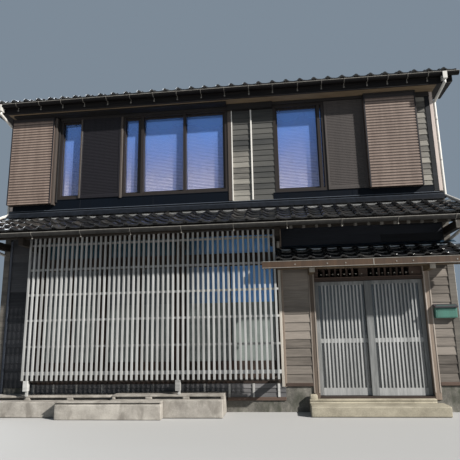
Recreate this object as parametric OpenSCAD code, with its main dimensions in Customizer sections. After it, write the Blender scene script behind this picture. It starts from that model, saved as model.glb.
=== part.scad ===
// Two-storey timber townhouse with a lattice bay, a tiled pent roof over the ground floor,
// a small tiled porch roof over sliding lattice doors, and shutter boxes on the upper floor.
// Origin: middle of the house's footprint, on the ground.
// +X runs along the front to the right, +Y goes into the house, +Z is up.
// The pieces are drawn from the front wall's outer face, and set_out() moves them to the origin.

/* [House] */
// Width over the outer faces of the two side walls
house_w = 8400; // [7600:10:9400]
// Depth over the outer faces of the front and back walls
house_d = 7400; // [6000:10:9000]
// Thickness of every outer wall
wall_t = 150; // [120:5:180]
// Top of the stone base under the boarded walls
base_h = 420; // [350:5:500]
// Top of the low base under the lattice bay and the entrance
low_base_h = 190; // [150:5:230]
// Top of the ground floor, a slab that lies on the ground
ground_floor_z = 240; // [220:5:245]
// Thickness of the upper floor
upper_floor_t = 150; // [120:5:200]
// Top of the upper floor
upper_floor_z = 3300; // [3200:5:3400]

/* [Tiles] */
// Working width of one roof tile
tile_w = 261.5; // [250:0.5:275]
// Thickness of the tile layer in its troughs
tile_t = 50; // [40:1:60]
// Height of a tile roll above the trough beside it
roll_h = 42; // [30:1:55]

/* [Main roof] */
// Rise of the main roof over its run
main_slope = 0.45; // [0.4:0.01:0.5]
// Top of the roof deck where it crosses the front wall's outer face
main_deck_z = 6135; // [6100:5:6200]
// Upright thickness of the roof deck
deck_t = 70; // [50:5:90]
// How far the tiles reach past the house's corners at each side
verge_reach = 336.75; // [320:0.25:350]
// Smallest width of the verge tiles outside the outermost rolls
verge_min_w = 180; // [170:1:190]
// How far the tiles reach past the front and back wall faces
main_lip = 390; // [350:5:450]
// Outer face of the eave board in front of the wall face
eave_reach = 330; // [290:5:380]
// Underside of the boxed eave
soffit_z = 5777; // [5740:1:5800]
// Thickness of the eave boards
eave_board_t = 25; // [18:1:35]
// Thickness of the gable boards
gable_board_t = 30; // [20:1:40]
// Upright depth of the gable boards
gable_board_h = 190; // [150:5:230]
// How far the tiles reach past the gable boards
verge_lip = 60; // [40:5:80]
// Underside of the boxed ends of the eaves, outside the house corners
return_z = 5810; // [5780:5:5840]
// How far the boxed ends of the eaves run back past the wall face
return_reach = 360; // [300:10:450]
// Width of the ridge stack
ridge_w = 300; // [240:5:360]
// Height of the ridge stack under its round cap
ridge_h = 150; // [100:5:220]

/* [Lower roof] */
// Rise of the pent roof over its run
lower_slope = 0.45; // [0.4:0.01:0.5]
// Top of the pent roof's deck at the wall face
lower_deck_z = 3605; // [3580:1:3630]
// How far the pent roof's tiles reach in front of the wall face
lower_lip = 940; // [880:5:1000]
// Upright thickness of the pent roof's boards
lower_deck_t = 30; // [20:1:40]
// How far the metal flashing lies over the tiles
flashing_reach = 130; // [100:5:160]
// How far the flashing stands up the wall
flashing_h = 95; // [80:5:120]
// Width of one rafter
rafter_w = 40; // [30:1:50]
// Upright depth of one rafter
rafter_h = 60; // [45:1:75]
// Spacing of the rafters
rafter_pitch = 210; // [190:1:230]
// Width and height of the beam that carries the rafters
purlin_s = 100; // [80:5:120]
// Distance of the beam's front face from the wall
purlin_reach = 640; // [580:5:700]
// Width of one cantilever arm
arm_w = 90; // [80:5:120]
// Height of one cantilever arm
arm_h = 130; // [100:5:150]

/* [Porch roof] */
// Gap between the lattice and the porch roof's left end
porch_gap = 5; // [2:1:60]
// How far the porch roof reaches past the right door post
porch_reach = 608; // [560:1:640]
// Working width of one porch roof tile
porch_tile_w = 274; // [262:1:280]
// Top of the porch deck at the wall face
porch_deck_z = 2800; // [2780:1:2830]
// How far the porch tiles reach in front of the wall face
porch_lip = 560; // [500:5:620]
// Width and height of the porch beam
porch_beam_s = 100; // [80:5:110]
// Distance of the porch beam's front face from the wall
porch_beam_reach = 400; // [360:5:440]
// Height of the arms that carry the porch beam
porch_arm_h = 150; // [120:5:160]

/* [Lattice bay] */
// Distance of the lattice from the house's left corner
lattice_margin = 725; // [700:1:800]
// Distance of the lattice's last bar from the bay's corner trim
lattice_end = 90; // [80:1:130]
// Spacing of the upright bars
bar_pitch = 90.9; // [80:0.1:100]
// Width of one upright bar
bar_w = 40; // [30:1:50]
// Depth of one upright bar
bar_d = 30; // [24:1:40]
// Front face of the bars in front of the wall face
lattice_reach = 430; // [380:5:480]
// Underside of the bars
lattice_z0 = 590; // [560:5:620]
// Top of the bars
lattice_z1 = 3180; // [3120:5:3200]
// Height of one cross rail
rail_h = 38; // [30:1:50]
// Depth of one cross rail
rail_d = 26; // [20:1:34]
// Middle height of the lowest cross rail
rail_z0 = 712; // [690:1:740]
// Spacing of the cross rails
rail_pitch = 462; // [440:1:480]
// Number of cross rails
rail_count = 6; // [5:1:6]
// Width and height of the bay's bracket arms
bracket_s = 90; // [70:5:100]
// Height of the ledger under the bars
ledger_h = 40; // [30:1:50]
// Number of the upright bar behind which the middle bracket stands
bracket_bar = 31; // [20:1:40]
// Top of the low boarded panel, where the window sill starts
panel_z1 = 480; // [450:5:510]
// Thickness of the low boarded panel
panel_t = 60; // [40:5:80]
// Height of the bay's timber window sill
bay_sill_h = 60; // [40:5:80]
// How far the bay's window sill stands proud of the wall
bay_sill_proud = 20; // [10:1:30]
// Width of the bay's end posts
bay_post_w = 105; // [90:5:120]
// Width of the two posts between the bay's windows
bay_middle_post_w = 150; // [120:5:170]
// Left face of the first middle post, from the bay's left edge
bay_post_1 = 1204; // [1150:1:1250]
// Distance between the two middle posts' left faces
bay_post_step = 1492; // [1300:1:1550]
// Underside of the beam over the bay's windows
bay_head_z = 3150; // [3100:1:3180]
// Underside of the transom beam between the tall sashes and the top lights
bay_transom_z = 2620; // [2560:5:2660]
// Height of the transom beam
bay_transom_h = 190; // [150:5:210]
// Width of the stiles and top rails of the bay's sashes
sash_w = 45; // [35:1:60]
// Thickness of the bay's sashes
sash_t = 30; // [24:1:36]
// Height of the kick board at the foot of the bay's sashes
sash_foot_h = 320; // [250:5:350]

/* [Entrance] */
// Distance of the right door post from the house's right corner
entrance_margin = 405; // [380:1:440]
// Width of the boarded wall between the bay and the left door post
door_wall_w = 475; // [440:1:500]
// Width of each door post
post_w = 110; // [95:5:130]
// Clear width between the door posts
door_clear_w = 1900; // [1800:5:1920]
// How far the door posts stand proud of the wall
post_proud = 20; // [10:1:40]
// Top of the door sill
sill_top_z = 250; // [246:1:260]
// Height of a door leaf
leaf_h = 1975; // [1900:5:1990]
// Width of a door leaf
leaf_w = 1005; // [980:5:1030]
// Thickness of a door leaf
leaf_t = 34; // [28:1:36]
// Clearance round a moving door leaf
leaf_gap = 6; // [5:1:8]
// Width of the outer stile of a door leaf
stile_w = 70; // [55:1:90]
// Width of the stile where the two door leaves meet
meeting_stile_w = 120; // [80:1:130]
// Height of the top rail of a door leaf
leaf_top_h = 66; // [50:1:80]
// Height of the middle rail of a door leaf
leaf_mid_h = 75; // [50:1:90]
// Height of the bottom rail of a door leaf
leaf_bottom_h = 125; // [110:1:160]
// Middle rail's centre above the leaf's bottom
leaf_mid_z = 925; // [880:5:980]
// Number of upright bars in a door leaf
leaf_bars = 12; // [11:1:15]
// Width of one door bar
leaf_bar_w = 30; // [24:1:36]
// Thickness of the door glass
door_glass_t = 5; // [4:1:6]
// Height of the door lintel
lintel_h = 60; // [50:5:80]
// Height of the transom lattice over the lintel
ranma_h = 160; // [140:5:190]
// Openings in each half of the transom lattice
ranma_openings = 7; // [5:1:9]
// Spacing of the transom lattice's bars
ranma_pitch = 103; // [90:1:110]
// Width of one transom bar
ranma_bar_w = 36; // [26:1:44]
// Width of the post between the transom's two halves
ranma_post_w = 160; // [120:5:180]
// Middle of that post, from the left door post
ranma_middle = 880; // [850:5:950]
// Height of the beam over the transom lattice
door_head_h = 90; // [70:5:110]
// How far both steps start to the left of the left door post
step_reach = 85; // [60:5:110]
// Width of the upper step
step_w = 2090; // [2000:10:2150]
// Top of the upper step
upper_step_h = 225; // [210:5:240]
// Depth of the upper step in front of the wall
upper_step_d = 130; // [100:5:160]
// Top of the lower step
lower_step_h = 166; // [140:1:180]
// Depth of the lower step in front of the upper step
lower_step_d = 360; // [300:10:450]
// How far the lower step runs on to the right of the upper step
lower_step_extra = 110; // [80:10:200]
// Radius of the lower step's right front corner
step_corner_r = 60; // [30:5:100]
// Width of the rough stone at the left post's foot
foot_stone_w = 150; // [120:5:180]
// Top of the rough stone at the left post's foot
foot_stone_h = 308; // [290:1:330]
// Distance of the letterbox from the right door post
letterbox_gap = 10; // [8:1:40]
// Width of the letterbox
letterbox_w = 360; // [320:10:380]
// Underside of the letterbox
letterbox_z0 = 1540; // [1500:5:1560]
// Height of the letterbox under its roof
letterbox_h = 175; // [150:5:190]
// Depth of the letterbox
letterbox_d = 110; // [90:5:130]

/* [Upper windows] */
// Distance of the wide window from the house's left corner
wide_margin = 2320; // [2300:5:2340]
// Width of the wide window over its frame
wide_w = 2140; // [2100:5:2160]
// Bottom of the wide and the narrow window's frame over the flashing
wide_rise = 214; // [190:1:240]
// Distance of the narrow window from the house's left corner
narrow_margin = 1000; // [985:5:1015]
// Width of the narrow window over its frame
narrow_w = 460; // [440:5:480]
// Width of the narrow window's frame member beside the storm shutter
narrow_side_w = 20; // [15:1:30]
// Width of the right window over its frame
right_w = 990; // [960:5:1010]
// Bottom of the right window's frame over the flashing
right_rise = 139; // [115:1:165]
// Width of the right window's narrow pane
narrow_pane_w = 68; // [60:1:80]
// Centre of the wide window's first upright, from its left edge
wide_upright_1 = 415; // [380:5:450]
// Centre of the wide window's second upright, from its left edge
wide_upright_2 = 1275; // [1240:5:1310]
// Top of all upper window frames
window_z1 = 5725; // [5700:5:5740]
// Width of a window frame member, seen from the front
frame_w = 55; // [45:1:70]
// Depth of a window frame
frame_d = 90; // [70:5:110]
// How far the window frames stand proud of the wall
frame_proud = 25; // [15:1:35]
// Thickness of the window glass
glass_t = 6; // [5:1:8]
// Distance of the blinds behind the glass
blind_gap = 40; // [30:5:50]
// Thickness of a blind
blind_t = 15; // [10:1:25]

/* [Shutters] */
// Width of the left shutter box, which starts at the house corner
left_box_w = 915; // [880:5:950]
// Distance of the right shutter box's left edge from the house's right corner
right_box_margin = 1310; // [1300:5:1320]
// Width of the right shutter box
right_box_w = 955; // [900:5:1000]
// Width of the right storm shutter
right_shutter_w = 740; // [730:5:750]
// Bottom of the shutter boxes over the flashing
box_rise = 119; // [100:1:140]
// Top of the shutter boxes
box_z1 = 5740; // [5700:5:5760]
// Depth of the shutter boxes in front of the wall
box_d = 150; // [120:5:180]
// Width of a shutter box's rim, seen from the front
box_rim = 28; // [20:1:35]
// Height of the dark board over a shutter box's ribs
box_head_h = 75; // [60:5:90]
// Number of ribs on a shutter box
rib_count = 31; // [25:1:35]
// Depth of one rib
rib_d = 8; // [5:1:12]
// Thickness of a storm shutter panel
shutter_t = 35; // [25:1:45]
// Gap between the wall and a storm shutter panel
shutter_gap = 12; // [8:1:15]
// Height of the trim rail that carries a storm shutter panel
track_h = 30; // [20:1:40]

/* [Gutters] */
// Outer width of the main gutters
gutter_w = 120; // [100:5:130]
// Outer width of the porch gutter
porch_gutter_w = 110; // [90:5:120]
// Height of the porch gutter's box section
porch_gutter_h = 112; // [100:2:125]
// Spacing of the lower gutter's hangers
hanger_pitch = 910; // [800:5:1000]
// Wall of the gutters
gutter_t = 4; // [3:1:6]
// Outer diameter of the downpipes
pipe_d = 54; // [48:1:60]

/* [Ledges] */
// Distance of the left ledge stone from the house's left corner
ledge_margin = 10; // [0:5:40]
// Width of the left ledge stone
left_ledge_w = 2400; // [2300:10:2450]
// Width of the right ledge stone
right_ledge_w = 1946; // [1850:1:2000]
// Top of the raised strip along the left ledge stone
left_ledge_h = 327; // [310:1:340]
// Depth of the left ledge stone
left_ledge_d = 570; // [540:5:600]
// Depth of the left ledge stone's tread in front of the raised strip
left_tread_d = 235; // [200:5:260]
// Top of the raised strip along the right ledge stone
right_ledge_h = 354; // [340:1:370]
// Depth of the right ledge stone
right_ledge_d = 590; // [560:5:620]
// Depth of the right ledge stone's tread in front of the raised strip
right_tread_d = 150; // [120:5:200]
// Height of the raised strips over the treads
ledge_strip_h = 66; // [50:1:80]
// Height of the slots at the foot of the raised strips
ledge_slot_h = 26; // [18:1:32]
// Distance of the foot block from the house's left corner
foot_block_margin = 1532; // [1450:1:1600]
// Width of the foot block
foot_block_w = 1830; // [1700:10:1900]
// Depth of the foot block
foot_block_d = 160; // [140:5:220]
// Height of the foot block
foot_block_h = 285; // [240:5:290]
// Height of the groove along the foot block's face
foot_groove_h = 19; // [12:1:24]

/* [Hidden] */

// Colours
boards_colour = [0.45, 0.41, 0.36];
dark_colour = [0.16, 0.15, 0.15];
timber_colour = [0.42, 0.32, 0.24];
lattice_colour = [0.62, 0.60, 0.57];
tile_colour = [0.10, 0.11, 0.12];
stone_colour = [0.66, 0.63, 0.56];
shutter_colour = [0.50, 0.42, 0.37];
glass_colour = [0.45, 0.60, 0.80, 0.4];
metal_colour = [0.35, 0.33, 0.31];

// Clearance between separate solids that rest on or beside each other
seat = 0.3;
// Overlap of bars and rails of one piece where they meet
join = 4;

// Derived places
half_w = house_w / 2;
inner_x = half_w - wall_t;
ridge_y = house_d / 2;
frame_x1 = half_w - entrance_margin;
post_x1 = frame_x1 - post_w;
door_x1 = post_x1;
door_x0 = door_x1 - door_clear_w;
post_x0 = door_x0 - post_w;
bay_trim_x = post_x0 - door_wall_w;
lattice_x0 = -half_w + lattice_margin;
bar_count = 1 + round((bay_trim_x - lattice_end - lattice_x0 - bar_w) / bar_pitch);
bay_x0 = lattice_x0;
bay_x1 = bay_trim_x - bay_post_w;
bay_clear = [
    [bay_x0 + bay_post_w, bay_x0 + bay_post_1],
    [bay_x0 + bay_post_1 + bay_middle_post_w, bay_x0 + bay_post_1 + bay_post_step],
    [bay_x0 + bay_post_1 + bay_post_step + bay_middle_post_w, bay_x1]
];
lintel_z = sill_top_z + leaf_h + 2 * leaf_gap;
ranma_z = lintel_z + lintel_h;
door_head_z = ranma_z + ranma_h;
over_door_z = door_head_z + door_head_h;
lattice_w = (bar_count - 1) * bar_pitch + bar_w;
lattice_x1 = lattice_x0 + lattice_w;
main_w = 2 * (half_w + verge_reach);
main_columns = floor((main_w - 2 * verge_min_w) / tile_w);
lower_w = main_w;
porch_x0 = lattice_x1 + porch_gap;
porch_x1 = frame_x1 + porch_reach;
porch_w = porch_x1 - porch_x0;
narrow_x0 = -half_w + narrow_margin;
wide_x0 = -half_w + wide_margin;
wide_uprights = [wide_upright_1, wide_upright_2];
right_box_x0 = half_w - right_box_margin;
right_x0 = right_box_x0 - right_shutter_w - right_w;
step_x0 = post_x0 - step_reach;
ledge_x0 = -half_w + ledge_margin;
ledge_joint_x = ledge_x0 + left_ledge_w + join;
foot_block_x0 = -half_w + foot_block_margin;
roll_rise = (tile_t + roll_h) / cos(atan(lower_slope));
flashing_z1 = lower_deck_z + roll_rise + flashing_h;
wide_z0 = flashing_z1 + wide_rise;
right_z0 = flashing_z1 + right_rise;
box_z0 = flashing_z1 + box_rise;

// Top of the main roof deck at a distance y behind the front wall face
function main_top(y) = main_deck_z + main_slope * min(y, house_d - y);
// Top of the pent roof deck at a distance y in front of the wall face
function lower_top(y) = lower_deck_z - lower_slope * y;
// Top of the porch roof deck at a distance y in front of the wall face
function porch_top(y) = porch_deck_z - lower_slope * y;

// Moves what is drawn from the front wall's outer face to the middle of the footprint
module set_out() {
    translate([0, -house_d / 2, 0])
        children();
}

// Box between two corners
module block(a, b) {
    translate(a)
        cube(b - a);
}

// Outline in the Y-Z plane, pushed along X from x0 to x1
module along_x(x0, x1, outline) {
    translate([x0, 0, 0])
        rotate([90, 0, 90])
            linear_extrude(x1 - x0)
                polygon(outline);
}

// Height of a tile surface over its deck; u runs from 0 at the top of one roll to 1 at the next
function tile_wave(u) = tile_t + roll_h * pow(abs(cos(180 * u)), 5);

// Sheet of tiles laid on a slope from a to b, two [y, z] points, with rolls from the first x on
module tile_sheet(x0, x1, first_roll, w, a, b) {
    run = b - a;
    step = w / 8;
    before = floor((first_roll - x0) / step);
    after = floor((x1 - first_roll) / step);
    translate([0, a.x, a.y])
        rotate([atan2(run.y, run.x), 0, 0])
            translate([0, norm(run), 0])
                rotate([90, 0, 0])
                    linear_extrude(norm(run))
                        polygon([
                            [x0, 0], [x0, tile_wave((x0 - first_roll) / w)],
                            for (i = [-before:after]) [first_roll + i * step, tile_wave(i / 8)],
                            [x1, tile_wave((x1 - first_roll) / w)], [x1, 0]
                        ]);
}

// Round bar between two points
module rod(a, b, d) {
    v = b - a;
    translate(a)
        rotate([0, acos(v.z / norm(v)), atan2(v.y, v.x)])
            cylinder(h = norm(v), d = d, $fn = 24);
}

// Rectangular frame in the X-Z plane with upright bars at the given places
module window_frame(x0, x1, z0, z1, y0, y1, uprights = [], right_w = frame_w) {
    difference() {
        block([x0, y0, z0], [x1, y1, z1]);
        block([x0 + frame_w, y0 - 1, z0 + frame_w], [x1 - right_w, y1 + 1, z1 - frame_w]);
    }
    for (u = uprights)
        block([u - frame_w / 2, y0, z0 + frame_w - join], [u + frame_w / 2, y1, z1 - frame_w + join]);
}

module foundation() color(stone_colour) set_out() {
    difference() {
        block([-half_w, 0, 0], [half_w, house_d, base_h]);
        block([-inner_x, wall_t, -1], [inner_x, house_d - wall_t, base_h + 1]);
        block([bay_x0, -1, low_base_h], [bay_trim_x, wall_t + 1, base_h + 1]);
        block([post_x0, -1, low_base_h], [frame_x1, wall_t + 1, base_h + 1]);
    }
}

module ground_floor() color(stone_colour) set_out()
    block([-inner_x, wall_t, 0], [inner_x, house_d - wall_t, ground_floor_z]);

module upper_floor() color(timber_colour) set_out()
    block([-inner_x, wall_t, upper_floor_z - upper_floor_t], [inner_x, house_d - wall_t, upper_floor_z]);

module side_wall(x0)
    along_x(x0, x0 + wall_t, [
        [0, base_h], [house_d, base_h], [house_d, main_top(0) - deck_t],
        [ridge_y, main_top(ridge_y) - deck_t], [0, main_top(0) - deck_t]
    ]);

module left_wall() color(boards_colour) set_out()
    side_wall(-half_w);

module right_wall() color(boards_colour) set_out()
    side_wall(inner_x);

// Windows of the back wall: the same sizes repeat on both storeys
back_window_w = 1700;
back_window_h = 1150;
back_window_x = [-half_w / 2, half_w / 2];
back_window_z = [1250, 4350];

module back_wall() color(boards_colour) set_out()
    difference() {
        along_x(-inner_x, inner_x, [
            [house_d - wall_t, base_h], [house_d, base_h],
            [house_d, main_top(0) - deck_t], [house_d - wall_t, main_top(wall_t) - deck_t]
        ]);
        for (x = back_window_x, z = back_window_z)
            block([x - back_window_w / 2, house_d - wall_t - 1, z],
                  [x + back_window_w / 2, house_d + 1, z + back_window_h]);
    }

module back_window_frames() color(dark_colour) set_out()
    for (x = back_window_x, z = back_window_z)
        window_frame(x - back_window_w / 2, x + back_window_w / 2, z, z + back_window_h,
                     house_d - frame_d + frame_proud, house_d + frame_proud, [x]);

module back_glass() color(glass_colour) set_out()
    for (x = back_window_x, z = back_window_z)
        block([x - (back_window_w - frame_w) / 2, house_d - frame_d + frame_proud - glass_t, z + frame_w / 2],
              [x + (back_window_w - frame_w) / 2, house_d - frame_d + frame_proud,
               z + back_window_h - frame_w / 2]);

module front_corner_wall() color(boards_colour) set_out()
    block([-inner_x, 0, base_h], [bay_x0, wall_t, upper_floor_z]);

module bay_panel() color(boards_colour) set_out()
    block([bay_x0, 0, low_base_h], [bay_trim_x, panel_t, panel_z1]);

// Posts, sill, transom and head beam of the windows behind the lattice
module bay_frame() color(timber_colour) set_out() {
    block([bay_x0, -bay_sill_proud, panel_z1], [bay_trim_x, wall_t, panel_z1 + bay_sill_h]);
    block([bay_x0, 0, bay_head_z], [bay_trim_x, wall_t, upper_floor_z]);
    block([bay_x0 + join, 10, bay_transom_z], [bay_trim_x - join, wall_t - 20, bay_transom_z + bay_transom_h]);
    for (x = [[bay_x0, bay_clear[0][0]], [bay_clear[0][1], bay_clear[1][0]],
              [bay_clear[1][1], bay_clear[2][0]], [bay_x1, bay_trim_x]])
        block([x[0], 0, panel_z1 + bay_sill_h - join], [x[1], wall_t, bay_head_z + join]);
}

// Two sashes in each window of the bay, with a kick board at their foot
module bay_sashes() color(timber_colour) set_out()
    for (x = bay_clear) {
        z0 = panel_z1 + bay_sill_h;
        middle = (x[0] + x[1]) / 2;
        difference() {
            block([x[0], 70 - sash_t, z0], [x[1], 70, bay_transom_z]);
            for (half = [[x[0] + sash_w, middle - sash_w / 2], [middle + sash_w / 2, x[1] - sash_w]])
                block([half[0], 69 - sash_t, z0 + sash_foot_h], [half[1], 71, bay_transom_z - sash_w]);
        }
    }

module bay_glass() color(glass_colour) set_out()
    for (x = bay_clear, top = [false, true]) {
        z0 = top ? bay_transom_z + bay_transom_h : panel_z1 + bay_sill_h;
        z1 = top ? bay_head_z : bay_transom_z;
        block([x[0], 70, z0], [x[1], 70 + glass_t, z1]);
    }

module door_left_wall() color(boards_colour) set_out()
    block([bay_trim_x, 0, base_h], [post_x0, wall_t, upper_floor_z]);

module door_right_wall() color(boards_colour) set_out()
    block([frame_x1, 0, base_h], [inner_x, wall_t, upper_floor_z]);

module over_door_wall() color(boards_colour) set_out()
    block([post_x0, 0, over_door_z], [frame_x1, wall_t, upper_floor_z]);

module upper_front_wall() color(boards_colour) set_out()
    difference() {
        along_x(-inner_x, inner_x, [
            [0, upper_floor_z], [wall_t, upper_floor_z],
            [wall_t, main_top(wall_t) - deck_t], [0, main_top(0) - deck_t]
        ]);
        block([wide_x0, -1, wide_z0], [wide_x0 + wide_w, wall_t + 1, window_z1]);
        block([narrow_x0, -1, wide_z0], [narrow_x0 + narrow_w, wall_t + 1, window_z1]);
        block([right_x0, -1, right_z0], [right_x0 + right_w, wall_t + 1, window_z1]);
    }

module upper_window_frames() color(dark_colour) set_out() {
    window_frame(wide_x0, wide_x0 + wide_w, wide_z0, window_z1, -frame_proud, frame_d - frame_proud,
                 [for (u = wide_uprights) wide_x0 + u]);
    window_frame(narrow_x0, narrow_x0 + narrow_w, wide_z0, window_z1, -frame_proud, frame_d - frame_proud,
                 [], narrow_side_w);
    window_frame(right_x0, right_x0 + right_w, right_z0, window_z1, -frame_proud, frame_d - frame_proud,
                 [right_x0 + right_w - narrow_pane_w - frame_w * 0.8]);
}

module glass_sheet(x0, w, z0, right_w = frame_w) {
    y0 = frame_d - frame_proud;
    block([x0 + frame_w / 2, y0, z0 + frame_w / 2], [x0 + w - right_w / 2, y0 + glass_t, window_z1 - frame_w / 2]);
}

module upper_glass() color(glass_colour) set_out() {
    glass_sheet(wide_x0, wide_w, wide_z0);
    glass_sheet(narrow_x0, narrow_w, wide_z0, narrow_side_w);
    glass_sheet(right_x0, right_w, right_z0);
}

module blind(x0, w, z0) {
    y0 = frame_d - frame_proud + glass_t + blind_gap;
    block([x0 + join, y0, z0 + frame_w], [x0 + w - join, y0 + blind_t, window_z1]);
}

module window_blinds() color("white") set_out() {
    blind(wide_x0, wide_w, wide_z0);
    blind(narrow_x0, narrow_w, wide_z0);
    blind(right_x0, right_w, right_z0);
}

// Closed box with a rim, a plain board at its head and level ribs on its face
module shutter_box(x0, w) {
    z0 = box_z0 + box_rim;
    z1 = box_z1 - box_head_h;
    pitch = (z1 - z0) / rib_count;
    block([x0, -box_d, box_z0], [x0 + box_rim, 0, box_z1]);
    block([x0 + w - box_rim, -box_d, box_z0], [x0 + w, 0, box_z1]);
    along_x(x0 + box_rim - join, x0 + w - box_rim + join, [
        [0, box_z0], [-box_d, box_z0], [-box_d, z0],
        for (i = [0:rib_count - 1])
            for (rib = [[rib_d, 0.08], [0, 0.3], [0, 0.75], [rib_d, 0.92]])
                [-box_d + rib[0], z0 + (i + rib[1]) * pitch],
        [-box_d, z1], [-box_d, box_z1], [0, box_z1]
    ]);
}

module shutter_boxes() color(shutter_colour) set_out() {
    shutter_box(-half_w, left_box_w);
    shutter_box(right_box_x0, right_box_w);
}

module storm_shutter(x0, x1, z0) {
    block([x0, -shutter_gap - shutter_t, z0 + track_h - join], [x1, -shutter_gap, window_z1]);
    block([x0, -shutter_gap - shutter_t, z0], [x1, 0, z0 + track_h]);
}

module storm_shutters() color(dark_colour) set_out() {
    storm_shutter(narrow_x0 + narrow_w, wide_x0, wide_z0);
    storm_shutter(right_x0 + right_w, right_box_x0, right_z0);
}

// Inner faces of the gable boards
gable_x = main_w / 2 - verge_lip - gable_board_t;

module roof_deck() color(timber_colour) set_out() {
    x1 = gable_x;
    y0 = -eave_reach + eave_board_t;
    along_x(-x1, x1, [
        [y0, main_top(y0) - deck_t], [ridge_y, main_top(ridge_y) - deck_t],
        [house_d - y0, main_top(y0) - deck_t], [house_d - y0, main_top(y0)],
        [ridge_y, main_top(ridge_y)], [y0, main_top(y0)]
    ]);
}

module main_tiles()
    tile_sheet(-main_w / 2, main_w / 2, -main_columns * tile_w / 2, tile_w,
               [-main_lip, main_top(-main_lip)], [ridge_y, main_top(ridge_y)]);

module front_roof_tiles() color(tile_colour) set_out()
    main_tiles();

module back_roof_tiles() color(tile_colour) set_out()
    translate([0, house_d, 0])
        mirror([0, 1, 0])
            main_tiles();

// Stack of flat ridge tiles over the rolls, with a round cap
module ridge() color(tile_colour) set_out() {
    h = ridge_w / 2;
    top = main_top(ridge_y) + (tile_t + roll_h) / cos(atan(main_slope));
    along_x(-main_w / 2, main_w / 2, [
        [ridge_y - h, top - h * main_slope], [ridge_y, top], [ridge_y + h, top - h * main_slope],
        [ridge_y + h * 0.85, top], [ridge_y + h * 0.7, top + ridge_h],
        [ridge_y - h * 0.7, top + ridge_h], [ridge_y - h * 0.85, top]
    ]);
    translate([-main_w / 2, ridge_y, top + ridge_h - 20])
        rotate([0, 90, 0])
            cylinder(h = main_w, r = h * 0.6, $fn = 32);
}

// Fascia, soffit, and the boxed ends outside the house corners
module eave_board_set() {
    back = -eave_reach + eave_board_t;
    block([-gable_x, -eave_reach, soffit_z], [gable_x, back, main_top(-eave_reach)]);
    block([-half_w, back - 1, soffit_z], [half_w, 0, soffit_z + eave_board_t]);
    for (x0 = [-gable_x, half_w + seat])
        block([x0, back - 1, return_z], [x0 + gable_x - half_w - seat, return_reach, return_z + eave_board_t]);
}

module eave_boards() color(timber_colour) set_out() {
    eave_board_set();
    translate([0, house_d, 0])
        mirror([0, 1, 0])
            eave_board_set();
}

// Sloping board under the verge tiles, with a level foot that closes the boxed end of each eave
module gable_board(x0) {
    y0 = -eave_reach;
    y1 = return_reach;
    along_x(x0, x0 + gable_board_t, [
        [y0, return_z], [y1, return_z], [y1, main_top(y1) - gable_board_h],
        [ridge_y, main_top(ridge_y) - gable_board_h],
        [house_d - y1, main_top(y1) - gable_board_h], [house_d - y1, return_z],
        [house_d - y0, return_z], [house_d - y0, main_top(y0)],
        [ridge_y, main_top(ridge_y)], [y0, main_top(y0)]
    ]);
}

module gable_boards() color(timber_colour) set_out() {
    gable_board(gable_x);
    gable_board(-gable_x - gable_board_t);
}

// Half-round gutter along X, closed at both ends; y and z give the middle of its open top
module gutter(x0, x1, y, z, w) {
    translate([x0, y, z])
        rotate([90, 0, 90]) {
            linear_extrude(x1 - x0)
                difference() {
                    circle(d = w, $fn = 48);
                    circle(d = w - 2 * gutter_t, $fn = 48);
                    translate([-w, 0])
                        square([2 * w, w]);
                }
            for (end = [0, x1 - x0 - gutter_t])
                translate([0, 0, end])
                    linear_extrude(gutter_t)
                        difference() {
                            circle(d = w - gutter_t, $fn = 48);
                            translate([-w, 0])
                                square([2 * w, w]);
                        }
        }
}

upper_gutter_z = main_top(-main_lip) - 3;
upper_gutter_y = -eave_reach - gutter_w / 2;
upper_gutter_x = main_w / 2 + 38;
lower_fascia_y = -lower_lip + 40;
lower_gutter_y = lower_fascia_y - gutter_w / 2;
lower_gutter_z = lower_top(lower_lip) - 32;

module upper_gutters() color(metal_colour) set_out() {
    gutter(-upper_gutter_x, upper_gutter_x, upper_gutter_y, upper_gutter_z, gutter_w);
    gutter(-upper_gutter_x, upper_gutter_x, house_d - upper_gutter_y, upper_gutter_z, gutter_w);
}

// Elbows are sockets, a little wider than the pipe
elbow_d = pipe_d + 6;
pipe_x = half_w + elbow_d / 2;

module elbow(p)
    translate(p)
        sphere(d = elbow_d, $fn = 24);

// Collector that hangs round the upper gutter's front at x
module collector(x) {
    half = 38;
    front = upper_gutter_y - gutter_w / 2;
    bottom = upper_gutter_z - gutter_w / 2;
    block([x - half, front - 18, bottom - 80], [x + half, front - 2, upper_gutter_z - 8]);
    block([x - half, front - 3, bottom - 80], [x + half, -eave_reach - 10, bottom - seat]);
    translate([x, upper_gutter_y - 10, bottom - 130])
        cylinder(h = 60, d = pipe_d, $fn = 24);
}

// Downpipe from the upper gutter down the corner and along the pent roof to the lower gutter
module front_downpipe(side) {
    x_out = side * (half_w + 110);
    x = side * pipe_x;
    rise = tile_t + roll_h + elbow_d / 2 + 12;
    a = [x_out, upper_gutter_y - 10, upper_gutter_z - gutter_w / 2 - 130];
    b = [x, 0, a.z - 190];
    c = [x, 0, lower_top(0) + rise];
    d = [x, lower_gutter_y - 48, lower_top(48 - lower_gutter_y) + rise];
    e = [x, lower_gutter_y - 18, lower_gutter_z - 10];
    collector(x_out);
    rod(a, b, pipe_d);
    rod(b, c, pipe_d);
    rod(c, d, pipe_d);
    rod(d, e, pipe_d);
    for (p = [a, b, c, d])
        elbow(p);
}

// Downpipe from a gutter's underside at a to the side wall at b, and on to the ground
module ground_downpipe(a, b, neck) {
    p = [a.x, a.y, a.z - neck];
    translate(p)
        cylinder(h = neck - seat, d = pipe_d, $fn = 24);
    rod(p, b, pipe_d);
    rod(b, [b.x, b.y, 0], pipe_d);
    elbow(p);
    elbow(b);
}

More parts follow.
